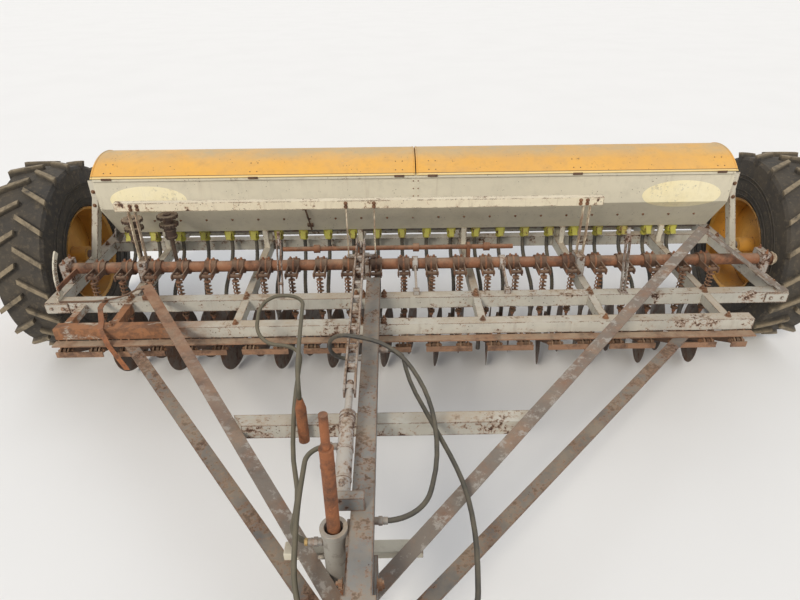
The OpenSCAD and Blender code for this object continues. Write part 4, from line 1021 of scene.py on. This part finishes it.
def make_strap_flanges():
    """Flange along the front of each end strap, which makes it an angle iron, and its two bolts."""
    line = [(BOX_HALF + 2, RIM_Z - 17), (BOX_HALF + 2, RIM_Z - 140), (END_FACE, 775), (END_FACE, FRAME_Z + 1)]
    made = Pieces()
    heads = []
    for side in SIDES:
        for ends in zip(line, line[1:]):
            made.hull([(side * (x + out), y, z) for x, z in ends for out in (0, 42) for y in (14.5, 20)])
        heads += [(side * (BOX_HALF + 25), 14.5, 1290), (side * (BOX_HALF + 40), 14.5, 1190)]
    made.make("strap_flanges", cream, "cream_paint")
    bolts.set_on("flange_bolts", spread(heads, -Y), rust, across=17, head=8, washer=14)


def make_hitch_tie():
    """Short bar under the two upper braces, in front of the ram."""
    made = Pieces()
    made.slab((-628, -62), (-2432, -2370), (576, 616), 3)
    made.make("hitch_tie", cream, "cream_paint")


def make_footboard_tread():
    """Slanting marks in a grid, with every second row shifted by half a step."""
    places = []
    for i in range(138):
        odd = i % 2
        for j in range(7):
            spot = (-2070 + i * 30, 652 + j * 32 + 16 * odd, 806)
            places.append((spot, Z, math.pi / 4 if odd else -math.pi / 4))
    treads.set_on("footboard_tread", places, rust, smooth=True)


def make_gear_trim():
    made = Pieces()
    for x, top in ((-1990, 1125), (-1740, 1150)):
        made.lathe([(0, 0), (26, 0), (28, 4), (22, 12), (12, 15), (0, 16)], (x, GEARS_Y, top + 7), Z, 20)
        for z in (top - 160, top - 110):
            made.ring(43, 37, 10, (x, GEARS_Y, z), Z)
    made.make("gear_caps", gear_steel)


for make in (make_springs, make_seed_tubes, make_ovals, make_box_folds, make_box_bolts, make_lid_trim,
             make_frame_trim, make_shaft_trim, make_rod_trim, make_opener_trim, make_wheel_trim,
             make_drawbar_trim, make_fittings, make_cup_trim, make_rail_trim, make_left_strap, make_left_rod,
             make_rate_lever, make_quadrant_rims, make_strap_flanges, make_hitch_tie, make_footboard_tread,
             make_gear_trim):
    make()

# Finish of each node of the part. Those that aren't named here are plain rust.
NODE_FINISHES = (
    (box_cream, "seed_box"),
    (cream, "box_stands end_straps depth_quadrant"),
    (rail_cream, "grab_rail"),
    (slate_paint, "drawbar hitch_clevis"),
    (beam_cream, "cross_tie front_beams rear_beams side_members"),
    (lower_slate, "lower_braces"),
    (braces, "upper_braces"),
    (link_paint, "shaft_bearings shaft_straps hand_levers ram_barrel ram_rod lift_lever"),
    (ledge_rust, "front_angle pivot_bars"),
    (ochre, "lid_left lid_right"),
    (rim_yellow, "rim_left rim_right"),
    (rubber, "tyre_left tyre_right"),
    (cup_green, "feed_cups"),
    (disc_steel, "opener_discs"),
    (steel, "feed_shaft stub_axles hose_ends seed_boots lid_hinges"),
    (sleeve_grey, "jack_sleeve"),
    (rust_post, "jack_leg hose_pocket"),
    (gear_steel, "gear_stacks"),
    (rust_red, "rock_shaft drive_shaft"),
    (rust_dark, "shaft_forks drag_arms press_rods"),
)


def dress_nodes():
    finishes = {name: finish for finish, names in NODE_FINISHES for name in names.split()}
    for name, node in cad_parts.items():
        finish = finishes.get(name, rust)
        if not node.data.materials:
            node.data.materials.append(finish)
        for k in range(len(node.data.materials)):
            node.data.materials[k] = finish


dress_nodes()


def make_floor():
    f = Finish("floor_card", (0.80, 0.79, 0.77), 0.9)
    f.layer(f.patches(0.7, 3, 0.5, 0.4, 0.7, 0.25), (0.74, 0.73, 0.71))
    mesh = bpy.data.meshes.new("floor")
    corners = [(-60, -60, 0), (60, -60, 0), (60, 60, 0), (-60, 60, 0)]
    mesh.from_pydata(corners, [], [(0, 1, 2, 3)])
    mesh.materials.append(f.done())
    put("floor", mesh)


def make_room():
    """Soft light from all round. The camera, gloss and glass see a pale backdrop instead."""
    world = bpy.data.worlds.new("soft_room")
    world.use_nodes = True
    nodes = Nodes(world.node_tree)
    room = nodes.tree.nodes["Background"]
    nodes.feed(room, {0: (0.93, 0.95, 1.0), 1: 0.60})
    backdrop = nodes.node("ShaderNodeBackground", {0: (0.94, 0.94, 0.935)})
    rays = nodes.node("ShaderNodeLightPath")
    seen = rays["Is Camera Ray"]
    for kind in ("Is Glossy Ray", "Is Transmission Ray"):
        seen = nodes.maths("MAXIMUM", seen, rays[kind])
    mix = nodes.node("ShaderNodeMixShader", {0: seen, 1: room.outputs[0], 2: backdrop[0]})
    nodes.feed(nodes.tree.nodes["World Output"], {0: mix[0]})
    bpy.context.scene.world = world
    bpy.context.scene.view_settings.view_transform = "Standard"


# Lamps: (name, way that it shines, strength, width of its disc in degrees, colour)
LAMPS = (("key", (0.42, 0.80, -0.62), 1.9, 16, (1.0, 0.93, 0.82)),
         ("fill", (-0.55, 0.35, -0.9), 0.55, 60, (0.9, 0.95, 1.0)),
         ("back", (0.3, -0.8, -0.7), 0.45, 60, (0.95, 0.97, 1.0)))


def make_lamps():
    for name, way, strength, angle, colour in LAMPS:
        lamp = bpy.data.lights.new(name, "SUN")
        lamp.energy = strength
        lamp.angle = math.radians(angle)
        lamp.color = colour
        put(name, lamp).rotation_euler = Vector(way).to_track_quat("-Z", "Y").to_euler()


make_floor()
make_room()
make_lamps()
